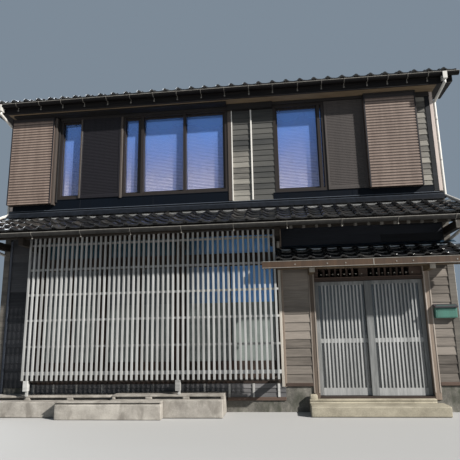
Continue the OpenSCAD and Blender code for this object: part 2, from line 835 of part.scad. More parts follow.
module downpipes() color("gainsboro") set_out()
    for (side = [-1, 1]) {
        low = lower_gutter_z - gutter_w / 2;
        high = upper_gutter_z - gutter_w / 2;
        front_downpipe(side);
        ground_downpipe([side * pipe_x, lower_gutter_y, low], [side * pipe_x, 60, low - 170], 60);
        ground_downpipe([side * (half_w + 110), house_d - upper_gutter_y, high],
                        [side * pipe_x, house_d - 60, high - 320], 130);
    }

arm_x = [-half_w + arm_w / 2, bay_x0 - arm_w / 2, bay_trim_x - arm_w / 2, half_w - arm_w / 2];
purlin_top = lower_top(purlin_reach) - lower_deck_t - rafter_h;
purlin_z0 = purlin_top - purlin_s;

// Beam under the rafters, and the cantilever arms that carry it from the wall
module lower_roof_beams() color(timber_colour) set_out() {
    along_x(-lower_w / 2 + 60, lower_w / 2 - 60, [
        [-purlin_reach, purlin_z0], [-purlin_reach + purlin_s, purlin_z0],
        [-purlin_reach + purlin_s, purlin_top + lower_slope * purlin_s], [-purlin_reach, purlin_top]
    ]);
    for (x = arm_x)
        block([x - arm_w / 2, -purlin_reach - 30, purlin_z0 - arm_h], [x + arm_w / 2, 0, purlin_z0 - seat]);
}

module lower_roof_deck() color(timber_colour) set_out() {
    y1 = -lower_fascia_y;
    x1 = lower_w / 2 - 10;
    along_x(-x1, x1, [
        [-y1, lower_top(y1) - lower_deck_t], [0, lower_top(0) - lower_deck_t],
        [0, lower_top(0)], [-y1, lower_top(y1)]
    ]);
    n = floor((lower_w - 200) / rafter_pitch / 2);
    for (i = [-n:n])
        along_x(i * rafter_pitch - rafter_w / 2, i * rafter_pitch + rafter_w / 2, [
            [-y1 + 30, lower_top(y1 - 30) - lower_deck_t - rafter_h], [0, lower_top(0) - lower_deck_t - rafter_h],
            [0, lower_top(0) - lower_deck_t + join], [-y1 + 30, lower_top(y1 - 30) - lower_deck_t + join]
        ]);
}

module lower_roof_tiles() color(tile_colour) set_out()
    tile_sheet(-lower_w / 2, lower_w / 2, -main_columns * tile_w / 2, tile_w,
               [-lower_lip, lower_top(lower_lip)], [0, lower_top(0)]);

// Metal flashing against the wall, bedded on the tile rolls
module lower_roof_flashing() color(metal_colour) set_out() {
    z0 = lower_deck_z + roll_rise;
    y0 = flashing_reach;
    along_x(-half_w, half_w, [
        [-y0, lower_top(y0) + roll_rise], [0, z0], [0, flashing_z1],
        [-12, flashing_z1], [-y0, lower_top(y0) + roll_rise + 20]
    ]);
}

// Gutter with hanger straps nailed to the deck's front edge
module lower_gutter() color(metal_colour) set_out() {
    gutter(-lower_w / 2 - 20, lower_w / 2 + 20, lower_gutter_y, lower_gutter_z, gutter_w);
    n = 4;
    for (i = [-n:n])
        block([i * hanger_pitch - 12, lower_fascia_y - gutter_t, lower_gutter_z - 20],
              [i * hanger_pitch + 12, lower_fascia_y, lower_top(-lower_fascia_y) - 10]);
}

porch_beam_top = porch_top(porch_beam_reach) - lower_deck_t - rafter_h;
porch_front = porch_lip - 40;

// Deck and rafters of the porch roof, the beam under them and the arms that carry it from the posts
module porch_roof_frame() color(timber_colour) set_out() {
    y1 = porch_front;
    along_x(porch_x0 + 10, porch_x1 - 10, [
        [-y1, porch_top(y1) - lower_deck_t], [0, porch_top(0) - lower_deck_t],
        [0, porch_top(0)], [-y1, porch_top(y1)]
    ]);
    n = floor((porch_w - 100) / rafter_pitch);
    x0 = (porch_x0 + porch_x1 - n * rafter_pitch) / 2;
    for (i = [0:n])
        along_x(x0 + i * rafter_pitch - rafter_w / 2, x0 + i * rafter_pitch + rafter_w / 2, [
            [-y1 + 30, porch_top(y1 - 30) - lower_deck_t - rafter_h],
            [0, porch_top(0) - lower_deck_t - rafter_h],
            [0, porch_top(0) - lower_deck_t + join], [-y1 + 30, porch_top(y1 - 30) - lower_deck_t + join]
        ]);
    front = porch_beam_reach + 40;
    arm_top = porch_top(front) - lower_deck_t - rafter_h - seat;
    arms = [post_x0 + post_w / 2, frame_x1 - post_w / 2];
    for (x = arms)
        block([x - 45, -front, arm_top - porch_arm_h], [x + 45, -post_proud, arm_top]);
    for (x = [[porch_x0 + 20, arms[0] - 45 - seat], [arms[0] + 45 + seat, arms[1] - 45 - seat],
              [arms[1] + 45 + seat, porch_x1 - 60]])
        block([x[0], -porch_beam_reach, porch_beam_top - seat - porch_beam_s],
              [x[1], -porch_beam_reach + porch_beam_s, porch_beam_top - seat]);
}

module porch_roof_tiles() color(tile_colour) set_out()
    tile_sheet(porch_x0, porch_x1, porch_x0 + 25, porch_tile_w,
               [-porch_lip, porch_top(porch_lip)], [0, porch_top(0)]);

// Box gutter with closed ends, against the front edge of the porch deck
module porch_gutter() color(timber_colour) set_out() {
    x0 = porch_x0 - 240;
    x1 = porch_x1 + 40;
    y0 = -porch_front - porch_gutter_w;
    z1 = porch_top(porch_lip) - 5;
    difference() {
        block([x0, y0, z1 - porch_gutter_h], [x1, -porch_front, z1]);
        block([x0 + gutter_t, y0 + gutter_t, z1 - porch_gutter_h + gutter_t],
              [x1 - gutter_t, -porch_front - gutter_t, z1 + 1]);
    }
}

// Upright bars over cross rails
module lattice() color(lattice_colour) set_out() {
    y0 = -lattice_reach;
    for (i = [0:bar_count - 1]) {
        x = lattice_x0 + i * bar_pitch;
        block([x, y0, lattice_z0], [x + bar_w, y0 + bar_d, lattice_z1]);
    }
    for (i = [0:rail_count - 1]) {
        z = rail_z0 + i * rail_pitch;
        block([lattice_x0, y0 + bar_d - join, z - rail_h / 2], [lattice_x1, y0 + bar_d + rail_d, z + rail_h / 2]);
    }
}

// Ledger under the bars, and the arms that carry the lattice from the wall at its foot and top
module lattice_brackets() color(timber_colour) set_out() {
    y0 = -lattice_reach + bar_d;
    z0 = lattice_z0 - ledger_h + 15;
    z1 = rail_z0 + (rail_count - 1) * rail_pitch - rail_h / 2;
    block([lattice_x0, y0, z0], [lattice_x1, y0 + ledger_h, z0 + ledger_h]);
    for (x = [lattice_x0, lattice_x0 + bracket_bar * bar_pitch, lattice_x1 - bracket_s]) {
        block([x, y0 + ledger_h + seat, z0 + ledger_h - bracket_s], [x + bracket_s, -bay_sill_proud, z0 + ledger_h]);
        block([x, y0, z1 - bracket_s], [x + bracket_s, 0, z1]);
    }
}

// Posts, lintel, head beam, and the transom lattice in two groups beside a middle post
module door_frame() color(timber_colour) set_out() {
    for (x = [post_x0, post_x1])
        block([x, -post_proud, low_base_h], [x + post_w, wall_t, over_door_z]);
    for (z = [[lintel_z, ranma_z], [door_head_z, over_door_z]])
        block([post_x0 + join, -post_proud + 10, z[0]], [frame_x1 - join, wall_t, z[1]]);
    middle = door_x0 + ranma_middle;
    reach = ranma_post_w / 2 + ranma_openings * ranma_pitch;
    z0 = ranma_z - join;
    z1 = door_head_z + join;
    for (x = [[door_x0 - join, middle - reach], [middle - ranma_post_w / 2, middle + ranma_post_w / 2],
              [middle + reach, door_x1 + join]])
        block([x[0], 20, z0], [x[1], 110, z1]);
    for (i = [1:ranma_openings - 1], side = [-1, 1]) {
        x = middle + side * (ranma_post_w / 2 + i * ranma_pitch);
        block([x - ranma_bar_w / 2, 45, z0], [x + ranma_bar_w / 2, 70, z1]);
    }
}

module door_sill() color(stone_colour) set_out()
    block([door_x0, -post_proud, low_base_h], [door_x1, wall_t, sill_top_z]);

// Two steps in front of the doors, with a rough stone at the left post's foot
module entrance_steps() color(stone_colour) set_out() {
    x1 = step_x0 + step_w;
    low_x1 = x1 + lower_step_extra;
    front = -upper_step_d - lower_step_d;
    block([step_x0, -upper_step_d, 0], [x1, 0, low_base_h]);
    block([step_x0, -upper_step_d, low_base_h - 1], [x1, -post_proud, upper_step_h]);
    block([step_x0, -upper_step_d, upper_step_h - 1], [step_x0 + foot_stone_w, -post_proud, foot_stone_h]);
    block([step_x0, front, 0], [low_x1 - step_corner_r, -upper_step_d + 1, lower_step_h]);
    block([low_x1 - step_corner_r - 1, front + step_corner_r, 0], [low_x1, -upper_step_d + 1, lower_step_h]);
    translate([low_x1 - step_corner_r, front + step_corner_r, 0])
        cylinder(h = lower_step_h, r = step_corner_r, $fn = 48);
}

// Sliding door leaf with stiles of widths a and b, and two rollers that run on the sill
module door_leaf(x0, y0, a, b) {
    z0 = sill_top_z + leaf_gap;
    z1 = z0 + leaf_h;
    block([x0, y0, z0], [x0 + a, y0 + leaf_t, z1]);
    block([x0 + leaf_w - b, y0, z0], [x0 + leaf_w, y0 + leaf_t, z1]);
    block([x0 + join, y0, z1 - leaf_top_h], [x0 + leaf_w - join, y0 + leaf_t, z1]);
    block([x0 + join, y0, z0], [x0 + leaf_w - join, y0 + leaf_t, z0 + leaf_bottom_h]);
    block([x0 + join, y0, z0 + leaf_mid_z - leaf_mid_h / 2],
          [x0 + leaf_w - join, y0 + leaf_t - 11, z0 + leaf_mid_z + leaf_mid_h / 2]);
    pitch = (leaf_w - a - b) / (leaf_bars + 1);
    for (i = [1:leaf_bars])
        block([x0 + a + i * pitch - leaf_bar_w / 2, y0, z0 + leaf_bottom_h - join],
              [x0 + a + i * pitch + leaf_bar_w / 2, y0 + leaf_t - 18, z1 - leaf_top_h + join]);
    for (x = [x0 + 150, x0 + leaf_w - 150])
        translate([x, y0 + leaf_t / 2 - 5, sill_top_z + 20 + seat])
            rotate([-90, 0, 0])
                cylinder(h = 10, r = 20, $fn = 32);
}

module leaf_glass(x0, y0, a, b) {
    z0 = sill_top_z + leaf_gap;
    block([x0 + a, y0 + leaf_t - 10, z0 + leaf_bottom_h],
          [x0 + leaf_w - b, y0 + leaf_t - 10 + door_glass_t, z0 + leaf_h - leaf_top_h]);
}

right_leaf_y = 55;
left_leaf_y = right_leaf_y + leaf_t + 10;
left_leaf_x = door_x0 + leaf_gap;
right_leaf_x = door_x1 - leaf_gap - leaf_w;

module left_door() color(lattice_colour) set_out()
    door_leaf(left_leaf_x, left_leaf_y, stile_w, meeting_stile_w);

module left_door_glass() color(glass_colour) set_out()
    leaf_glass(left_leaf_x, left_leaf_y, stile_w, meeting_stile_w);

module right_door() color(lattice_colour) set_out()
    door_leaf(right_leaf_x, right_leaf_y, meeting_stile_w, stile_w);

module right_door_glass() color(glass_colour) set_out()
    leaf_glass(right_leaf_x, right_leaf_y, meeting_stile_w, stile_w);

// Box on the wall with a sloping roof board
module letterbox() color(metal_colour) set_out() {
    x0 = frame_x1 + letterbox_gap;
    z1 = letterbox_z0 + letterbox_h;
    d = letterbox_d;
    block([x0, -d, letterbox_z0], [x0 + letterbox_w, 0, z1]);
    along_x(x0 - 9, x0 + letterbox_w + 15, [[-d - 40, z1 - 10], [0, z1 + 45], [0, z1 + 75], [-d - 40, z1 + 20]]);
    along_x(x0 + 20, x0 + letterbox_w - 20, [[-d, z1 - 1], [0, z1 - 1], [0, z1 + 50], [-d, z1 + 5]]);
}

// Long stone ledge: a tread, and a raised strip behind it with slots along its foot
module ledge(x0, x1, d, tread, h) {
    n = 3;
    pitch = (x1 - x0) / n;
    z = h - ledge_strip_h;
    difference() {
        along_x(x0, x1, [[-d, 0], [0, 0], [0, h], [tread - d, h], [tread - d, z], [-d, z]]);
        for (i = [0:n - 1])
            block([x0 + i * pitch + 60, tread - d - 1, z],
                  [x0 + (i + 1) * pitch - 60, tread - d + 70, z + ledge_slot_h]);
    }
}

module ledge_stones() color(stone_colour) set_out() {
    ledge(ledge_x0, ledge_x0 + left_ledge_w, left_ledge_d, left_tread_d, left_ledge_h);
    ledge(ledge_joint_x, ledge_joint_x + right_ledge_w, right_ledge_d, right_tread_d, right_ledge_h);
    y1 = -right_ledge_d - seat;
    y0 = -right_ledge_d - foot_block_d;
    groove_z = foot_block_h - 2 * foot_groove_h;
    difference() {
        block([foot_block_x0, y0, 0], [foot_block_x0 + foot_block_w, y1, foot_block_h]);
        block([foot_block_x0 - 1, y0 - 1, groove_z],
              [foot_block_x0 + foot_block_w + 1, y0 + 12, groove_z + foot_groove_h]);
    }
}

foundation();
ground_floor();
upper_floor();
left_wall();
right_wall();
back_wall();
back_window_frames();
back_glass();
front_corner_wall();
bay_panel();
bay_frame();
bay_sashes();
bay_glass();
door_left_wall();
door_right_wall();
over_door_wall();
upper_front_wall();
upper_window_frames();
upper_glass();
window_blinds();
shutter_boxes();
storm_shutters();
roof_deck();
front_roof_tiles();
back_roof_tiles();
ridge();
eave_boards();
gable_boards();
upper_gutters();
downpipes();
lower_roof_beams();
lower_roof_deck();
lower_roof_tiles();
lower_roof_flashing();
lower_gutter();
porch_roof_frame();
porch_roof_tiles();
porch_gutter();
lattice();
lattice_brackets();
door_frame();
door_sill();
entrance_steps();
left_door();
left_door_glass();
right_door();
right_door_glass();
letterbox();
ledge_stones();
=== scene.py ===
"""Looks of the townhouse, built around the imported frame. Lengths are in metres.

Pieces are modelled from the front wall's outer face, as the part's source does: x
along the front, y into the house, z up.
"""

import math
import random

import bmesh
import bpy
from mathutils import Matrix, Vector, noise


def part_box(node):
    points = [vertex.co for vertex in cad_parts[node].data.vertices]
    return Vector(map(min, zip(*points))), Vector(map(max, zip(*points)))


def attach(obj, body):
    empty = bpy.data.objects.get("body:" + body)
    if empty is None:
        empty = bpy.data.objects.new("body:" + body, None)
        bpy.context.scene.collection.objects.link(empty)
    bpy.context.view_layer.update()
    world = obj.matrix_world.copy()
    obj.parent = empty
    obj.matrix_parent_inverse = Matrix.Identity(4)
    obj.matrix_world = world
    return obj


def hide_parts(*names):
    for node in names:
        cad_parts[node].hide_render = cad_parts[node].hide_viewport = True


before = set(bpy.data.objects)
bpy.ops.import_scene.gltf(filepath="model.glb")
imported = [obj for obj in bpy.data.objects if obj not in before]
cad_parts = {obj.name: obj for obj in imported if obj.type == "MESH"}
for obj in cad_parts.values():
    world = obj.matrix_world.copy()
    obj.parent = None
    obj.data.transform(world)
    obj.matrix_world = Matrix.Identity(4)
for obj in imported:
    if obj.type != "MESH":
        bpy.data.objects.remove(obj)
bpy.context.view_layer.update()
random.seed(11)
noise.seed_set(11)

# The house: front wall's face, depth, half of its width, and the turn that brings a front piece to the back
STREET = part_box("foundation")[0].y
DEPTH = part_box("foundation")[1].y - STREET
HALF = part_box("foundation")[1].x
TO_BACK = Matrix.Translation((0, DEPTH, 0)) @ Matrix.Rotation(math.pi, 4, "Z")

# One bay of the timber frame, and the back of what is fixed to a wall
BAY = 1.82
ON_WALL = -0.001

# Heights on the walls
BASE_TOP, ENTRANCE_FOOT = 0.42, 0.48
GROUND_TOP = 3.3
RECESS_Z0 = 2.76
PANEL_Z0, PANEL_Z1 = 0.25, 0.478
UPPER_FOOT = 3.82
FLASHING_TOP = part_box("lower_roof_flashing")[1].z
WIDE_SILL, RIGHT_SILL, WINDOW_TOP = 4.015, 3.94, 5.725
SOFFIT_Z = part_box("eave_boards")[0].z

# Where sheets and boards on the upper wall stop, just short of a window post and of the right corner's trim
WINDOW_POST_X, CORNER_TRIM_X = 0.262, 4.126

# Heights of the boards' courses
UPPER_BOARD, GROUND_BOARD, SIDE_BOARD, PANEL_BOARD = 0.1125, 0.148, 0.180, 0.076

# Roofs: slope, each deck's height at the wall, and how far its tiles reach out
SLOPE = 0.45
LEAN = math.atan(SLOPE)
MAIN_DECK, LOWER_DECK, PORCH_DECK = 6.135, 3.605, 2.8
MAIN_LIP, LOWER_LIP, PORCH_LIP = 0.39, 0.94, 0.56

# Roof tiles: widths, numbers, thickness, and the lines across a tile, as shares of its width, where it turns
TILE_W, PORCH_TILE_W = 0.2615, 0.274
TILE_COLUMNS, PORCH_COLUMNS = 33, 12
TILE_FLAT, TILE_ROLL = 0.044, 0.048
TILE_TOP = (TILE_FLAT + TILE_ROLL) / math.cos(LEAN)
TILE_LINES = (-0.15, -0.085, -0.03, 0.03, 0.085, 0.15, 0.28, 0.55, 0.85)
COURSE = 0.235
PORCH_FIRST_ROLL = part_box("porch_roof_tiles")[0].x + 0.044

# Places of the straps along the upper gutter
HOOKS = (-3.978, -3.496, -3.033, -2.577, -2.095, -1.618, -1.147, -0.681, -0.205, 0.251,
         0.724, 1.178, 1.652, 2.101, 2.518, 2.945, 3.315, 3.668, 4.031)

# Lattice in front of the bay
BARS, BAR_PITCH, BAR_W, BAR_D = 51, 0.0909, 0.037, 0.030
LATTICE_X0, LATTICE_X1, LATTICE_Y = -3.475, 1.110, -0.430
LATTICE_Z0, LATTICE_Z1 = 0.590, 3.180

# Entrance: trim beside the bay, posts, opening and leaves
TRIM_X = 1.200
POST_X0, POST_W, DOOR_CLEAR = 1.675, 0.110, 1.900
DOOR_X0 = POST_X0 + POST_W
DOOR_X1 = DOOR_X0 + DOOR_CLEAR
LEAF_W = 1.005


# Camera and light

def aim_camera():
    """Camera at the photograph's viewpoint: 461 pixels of focal length on a 460 pixel frame"""
    frame_pixels, focal_pixels, sensor = 460, 461, 36
    eye = (1.205, -8.5 + STREET, 1.48)
    pitch, yaw, roll = (math.radians(a) for a in (11.730, 6.282, -1.127))
    ahead = Vector((-math.sin(yaw) * math.cos(pitch), math.cos(yaw) * math.cos(pitch), math.sin(pitch)))
    right = Vector((math.cos(yaw), math.sin(yaw), 0))
    up = right.cross(ahead)
    side = math.cos(roll) * right + math.sin(roll) * up
    top = -math.sin(roll) * right + math.cos(roll) * up
    lens = bpy.data.cameras.new("camera")
    lens.sensor_width = sensor
    lens.lens = sensor * focal_pixels / frame_pixels
    lens.clip_end = 200
    camera = bpy.data.objects.new("camera", lens)
    turn = Matrix((side, top, -ahead)).transposed().to_4x4()
    camera.matrix_world = Matrix.Translation(eye) @ turn
    bpy.context.scene.collection.objects.link(camera)
    bpy.context.scene.camera = camera


def sun_lamp(name, towards, energy, angle, colour):
    """Far lamp in the direction towards; a wide angle gives soft shadows"""
    lamp = bpy.data.lights.new(name, "SUN")
    lamp.energy = energy
    lamp.angle = math.radians(angle)
    lamp.color = colour
    made = bpy.data.objects.new(name, lamp)
    made.rotation_euler = Vector(towards).to_track_quat("Z", "Y").to_euler()
    bpy.context.scene.collection.objects.link(made)


def set_light():
    """Soft sky, a key light from the right as in the photograph and a weak, very soft light from behind"""
    world = bpy.data.worlds.new("studio")
    world.use_nodes = True
    background = world.node_tree.nodes["Background"]
    background.inputs["Color"].default_value = (0.66, 0.82, 1.0, 1)
    background.inputs["Strength"].default_value = 0.31
    bpy.context.scene.world = world
    sun_lamp("key", (1.7, -1.0, 1.22), 7.8, 1.6, (1.0, 0.965, 0.915))
    sun_lamp("fill", (-0.8, 0.7, 0.7), 1.6, 40, (0.92, 0.96, 1.0))
    view = bpy.context.scene.view_settings
    view.view_transform = "Standard"
    view.look = "None"


# Finishes

finishes = {}


class Surface:
    """One material, built from small steps on a Principled shader, and kept by its name in finishes"""

    def __init__(self, name, roughness=0.7, metallic=0.0, specular=0.5, coat=0.0):
        self.material = bpy.data.materials.new(name)
        self.material.use_nodes = True
        self.tree = self.material.node_tree
        self.shader = self.tree.nodes["Principled BSDF"]
        for socket, value in (("Roughness", roughness), ("Metallic", metallic),
                              ("Specular IOR Level", specular), ("Coat Weight", coat)):
            self.shader.inputs[socket].default_value = value
        self.object = self.node("TexCoord").outputs["Object"]
        self.normal = None
        finishes[name] = self.material

    def node(self, kind, links=(), **values):
        made = self.tree.nodes.new("ShaderNode" + kind)
        for key, value in values.items():
            setattr(made, key, value)
        for socket, value in links:
            self.put(made.inputs[socket], value)
        return made

    def put(self, socket, value):
        if isinstance(value, bpy.types.NodeSocket):
            self.tree.links.new(value, socket)
        elif isinstance(value, (tuple, list)) and len(value) == 3 and socket.type == "RGBA":
            socket.default_value = (*value, 1)
        else:
            socket.default_value = value

    def noise(self, scale, size=1.0, detail=4.0, rough=0.55):
        mapped = self.node("Mapping", (("Vector", self.object), ("Scale", scale))).outputs[0]
        links = (("Vector", mapped), ("Scale", size), ("Detail", detail), ("Roughness", rough))
        return self.node("TexNoise", links).outputs[0]

    def math(self, operation, a, b=0.5, clamp=False):
        return self.node("Math", ((0, a), (1, b)), operation=operation, use_clamp=clamp).outputs[0]

    def times(self, *factors):
        product = factors[0]
        for factor in factors[1:]:
            product = self.math("MULTIPLY", product, factor)
        return product

    def blend(self, *parts):
        """Sum of values, each times its share"""
        total = self.times(*parts[0])
        for part in parts[1:]:
            total = self.math("ADD", total, self.times(*part))
        return total

    def ramp(self, factor, *stops):
        made = self.node("ValToRGB", (("Fac", factor),))
        elements = made.color_ramp.elements
        while len(elements) < len(stops):
            elements.new(0.5)
        for element, (place, colour) in zip(elements, stops):
            element.position = place
            element.color = (*(colour if isinstance(colour, tuple) else (colour,) * 3), 1)
        return made.outputs[0]

    def mix(self, factor, a, b):
        made = self.node("Mix", ((0, factor), (6, a), (7, b)), data_type="RGBA")
        return made.outputs[2]

    def place(self, axis):
        return self.node("SeparateXYZ", (("Vector", self.object),)).outputs[axis]

    def rise(self, value, low, high):
        """0 where value is at low, 1 where it is at high"""
        return self.node("MapRange", ((0, value), (1, low), (2, high))).outputs[0]

    def above(self, axis, value, spread=0.01):
        """1 where the place on that axis is above value, 0 below, with a soft step"""
        return self.rise(self.place(axis), value - spread, value + spread)

    def tone(self):
        return self.node("Attribute", attribute_name="tone").outputs["Fac"]

    def toned(self, level, amount):
        """Adds each stick's or sheet's own tone to a level"""
        return self.math("ADD", level, self.times(self.math("SUBTRACT", self.tone(), 0.5), amount))

    def relief(self, height, depth, strength=1.0):
        links = [("Height", height), ("Distance", depth), ("Strength", strength)]
        if self.normal:
            links.append(("Normal", self.normal))
        self.normal = self.node("Bump", links).outputs[0]

    def done(self, colour, roughness=None):
        self.put(self.shader.inputs["Base Color"], colour)
        if roughness is not None:
            self.put(self.shader.inputs["Roughness"], roughness)
        if self.normal:
            self.put(self.shader.inputs["Normal"], self.normal)
        return self.material


def darker(colour, share):
    return tuple(c * share for c in colour)


def drawn_out(along, lengthwise, across):
    """Pattern scale on the three axes, drawn out along the grain"""
    return [lengthwise if axis in along else across for axis in "XYZ"]


def wood(name, dark, light, along, grain=150, rough=(0.6, 0.85), depth=0.0012, dirt=0.0, tones=0.3,
         window_shade=False):
    """Sawn timber with streaks along one or two axes, a tone for each stick, and dirt near the ground"""
    s = Surface(name, specular=0.3)
    streaks = s.noise(drawn_out(along, grain * 0.025, grain), detail=5, rough=0.6)
    broad = s.noise(drawn_out(along, 1.3, 30), detail=3)
    stains = s.noise(drawn_out(along, 0.9, 4), detail=4, rough=0.6)
    level = s.toned(s.blend((streaks, 0.40), (stains, 0.30), (broad, 0.30)), tones)
    colour = s.ramp(level, (0.33, dark), (0.67, light))
    if dirt:
        low = s.times(s.math("SUBTRACT", 1.0, s.above(2, 0.75, 0.45)), dirt)
        low = s.math("MULTIPLY", low, s.math("ADD", stains, 0.4), clamp=True)
        colour = s.mix(low, colour, darker(dark, 0.45))
    # Painted shade on the boards between the upper windows
    if window_shade:
        colour = paint_window_shade(s, colour)
    s.relief(streaks, depth)
    return s.done(colour, s.ramp(streaks, (0.3, rough[0]), (0.7, rough[1])))


def paint_window_shade(s, colour):
    """Painted shade on the boards between the upper windows: on those high up, and on all beside the right
    one
    """
    window_x, batten_x, high_z = 1.2, 0.735, 4.80
    middle = s.math("SUBTRACT", 1.0, s.above(0, window_x))
    painted_shade = s.math("MAXIMUM", s.above(2, high_z, 0.05), s.above(0, batten_x))
    return s.mix(s.times(middle, painted_shade, 0.74), colour, (0.018, 0.021, 0.023))


def stone(name, dark, light, size=9.0, depth=0.006, moss=None):
    """Rough stone or plaster with its own tone on each block, and patches of moss or dust"""
    s = Surface(name, specular=0.3)
    broad = s.noise((1, 1, 1), size * 0.35, detail=6, rough=0.65)
    grit = s.noise((1, 1, 1), size * 9, detail=6, rough=0.7)
    level = s.toned(s.blend((broad, 0.6), (grit, 0.4)), 0.15)
    between = tuple((a + b) / 2 for a, b in zip(dark, light))
    colour = s.ramp(level, (0.34, dark), (0.5, between), (0.64, light))
    if moss:
        patch = s.ramp(s.noise((1, 1, 0.5), 5, detail=5), (0.52, 0.0), (0.66, 0.8))
        colour = s.mix(patch, colour, moss)
    s.relief(broad, depth)
    s.relief(grit, depth * 0.25)
    return s.done(colour, s.ramp(grit, (0.3, 0.70), (0.7, 0.85)))


def metal(name, colour, shade=0.7, rough=0.42, coat=0.0, specular=0.5):
    """Coated sheet with faint streaks of dirt that run down it"""
    s = Surface(name, specular=specular, coat=coat)
    run = s.noise((14, 14, 1.2), detail=5, rough=0.6)
    spots = s.noise((1, 1, 1), 60, detail=3)
    level = s.toned(s.blend((run, 0.75), (spots, 0.25)), 0.2)
    s.relief(spots, 0.0004)
    return s.done(s.ramp(level, (0.3, darker(colour, shade)), (0.62, colour)),
                  s.ramp(run, (0.3, rough + 0.15), (0.7, rough)))


def glazed(name):
    """Black glazed tile: glossy, each a little different, with faint brownish clouds"""
    s = Surface(name, specular=0.5, coat=0.55)
    s.shader.inputs["Coat Roughness"].default_value = 0.09
    s.shader.inputs["IOR"].default_value = 1.42
    cloud = s.noise((1, 1, 1), 7, detail=5, rough=0.6)
    fine = s.noise((1, 1, 1), 70, detail=4, rough=0.6)
    colour = s.ramp(s.blend((cloud, 0.5), (s.tone(), 0.5)), (0.25, (0.005, 0.005, 0.006)),
                    (0.6, (0.013, 0.013, 0.013)), (0.85, (0.036, 0.033, 0.030)))
    s.relief(cloud, 0.004)
    s.relief(fine, 0.0006)
    return s.done(colour, s.ramp(fine, (0.3, 0.13), (0.7, 0.30)))


def pane(name, deep, pale, clear, heights, rough=0.03, metallic=0.0):
    """Glass with a deep, denser colour at its top, paler and clearer further down; in the window glass that
    deep blue is a painted sky reflection
    """
    s = Surface(name, specular=0.8, coat=0.8, metallic=metallic)
    s.shader.inputs["Coat Roughness"].default_value = 0.02
    high = s.rise(s.place(2), *heights)
    haze = s.noise((1, 1, 0.6), 2.6, detail=3)
    level = s.math("ADD", high, s.times(s.math("SUBTRACT", haze, 0.5), 0.5), clamp=True)
    s.put(s.shader.inputs["Alpha"], s.ramp(level, (0.0, clear[1]), (1.0, clear[0])))
    s.relief(haze, 0.002, 0.3)
    return s.done(s.mix(level, pale, deep), s.ramp(haze, (0.3, rough), (0.7, rough + 0.05)))


def frosted(name):
    """Bay glass: frosted grey-green below, clear and darker above, and bluest towards the entrance from a
    painted sky reflection
    """
    s = Surface(name, specular=0.7, coat=0.5)
    high = s.above(2, 1.90, 0.006)
    lights = s.above(2, 2.72, 0.05)
    cloud = s.noise((2.5, 1, 1.2), 1.4, detail=5)
    folds = s.noise((9, 1, 0.15), detail=3)
    milk = s.ramp(s.blend((cloud, 0.6), (folds, 0.4)),
                  (0.35, (0.075, 0.090, 0.085)), (0.65, (0.19, 0.22, 0.205)))
    # Painted sky reflection: the clear glass and the lights above it turn blue towards the entrance
    towards = s.rise(s.place(0), -0.6, 0.3)
    clear = s.mix(towards, s.mix(folds, (0.020, 0.026, 0.028), (0.17, 0.18, 0.18)), (0.13, 0.34, 0.74))
    top = s.mix(towards, (0.030, 0.070, 0.095), (0.18, 0.46, 0.95))
    s.relief(s.noise((1, 1, 1), 220, detail=2), 0.0006)
    return s.done(s.mix(high, milk, s.mix(lights, clear, top)), s.ramp(high, (0.4, 0.5), (0.6, 0.06)))


def shutter_paint(name):
    """Brown-pink ribbed sheet with painted shade in the grooves between its ribs, under a dark head board"""
    shaded_groove_y, head_z = STREET - 0.1485, 5.668
    s = Surface(name, specular=0.35)
    run = s.noise((9, 9, 0.8), detail=5)
    spots = s.noise((1, 1, 1), 45, detail=4)
    sheet = s.ramp(s.blend((run, 0.7), (spots, 0.3)),
                   (0.3, (0.140, 0.103, 0.085)), (0.65, (0.245, 0.186, 0.155)))
    # Painted shade: the deeper faces of the grooves are darkened
    colour = s.mix(s.times(s.above(1, shaded_groove_y, 0.001), 0.72), sheet, (0.030, 0.022, 0.020))
    colour = s.mix(s.above(2, head_z, 0.002), colour, (0.022, 0.019, 0.020))
    s.relief(spots, 0.0008)
    return s.done(colour, s.ramp(spots, (0.3, 0.5), (0.7, 0.68)))


def eave_paint(name):
    """Near-black fascia and gable boards, tan soffit behind them"""
    fascia_back, soffit_edge = 4.006, 4.002
    s = Surface(name, specular=0.1)
    streaks = s.noise((3, 90, 90), detail=4)
    dark = s.ramp(streaks, (0.3, (0.004, 0.004, 0.005)), (0.7, (0.016, 0.014, 0.013)))
    tan = s.ramp(streaks, (0.3, (0.11, 0.080, 0.050)), (0.7, (0.25, 0.190, 0.125)))
    inside = s.rise(s.math("ABSOLUTE", s.place(1)), fascia_back, soffit_edge)
    beside = s.math("LESS_THAN", s.math("ABSOLUTE", s.place(0)), HALF + 0.002)
    s.relief(streaks, 0.001)
    return s.done(s.mix(s.times(inside, beside), dark, tan), s.ramp(streaks, (0.3, 0.45), (0.7, 0.7)))


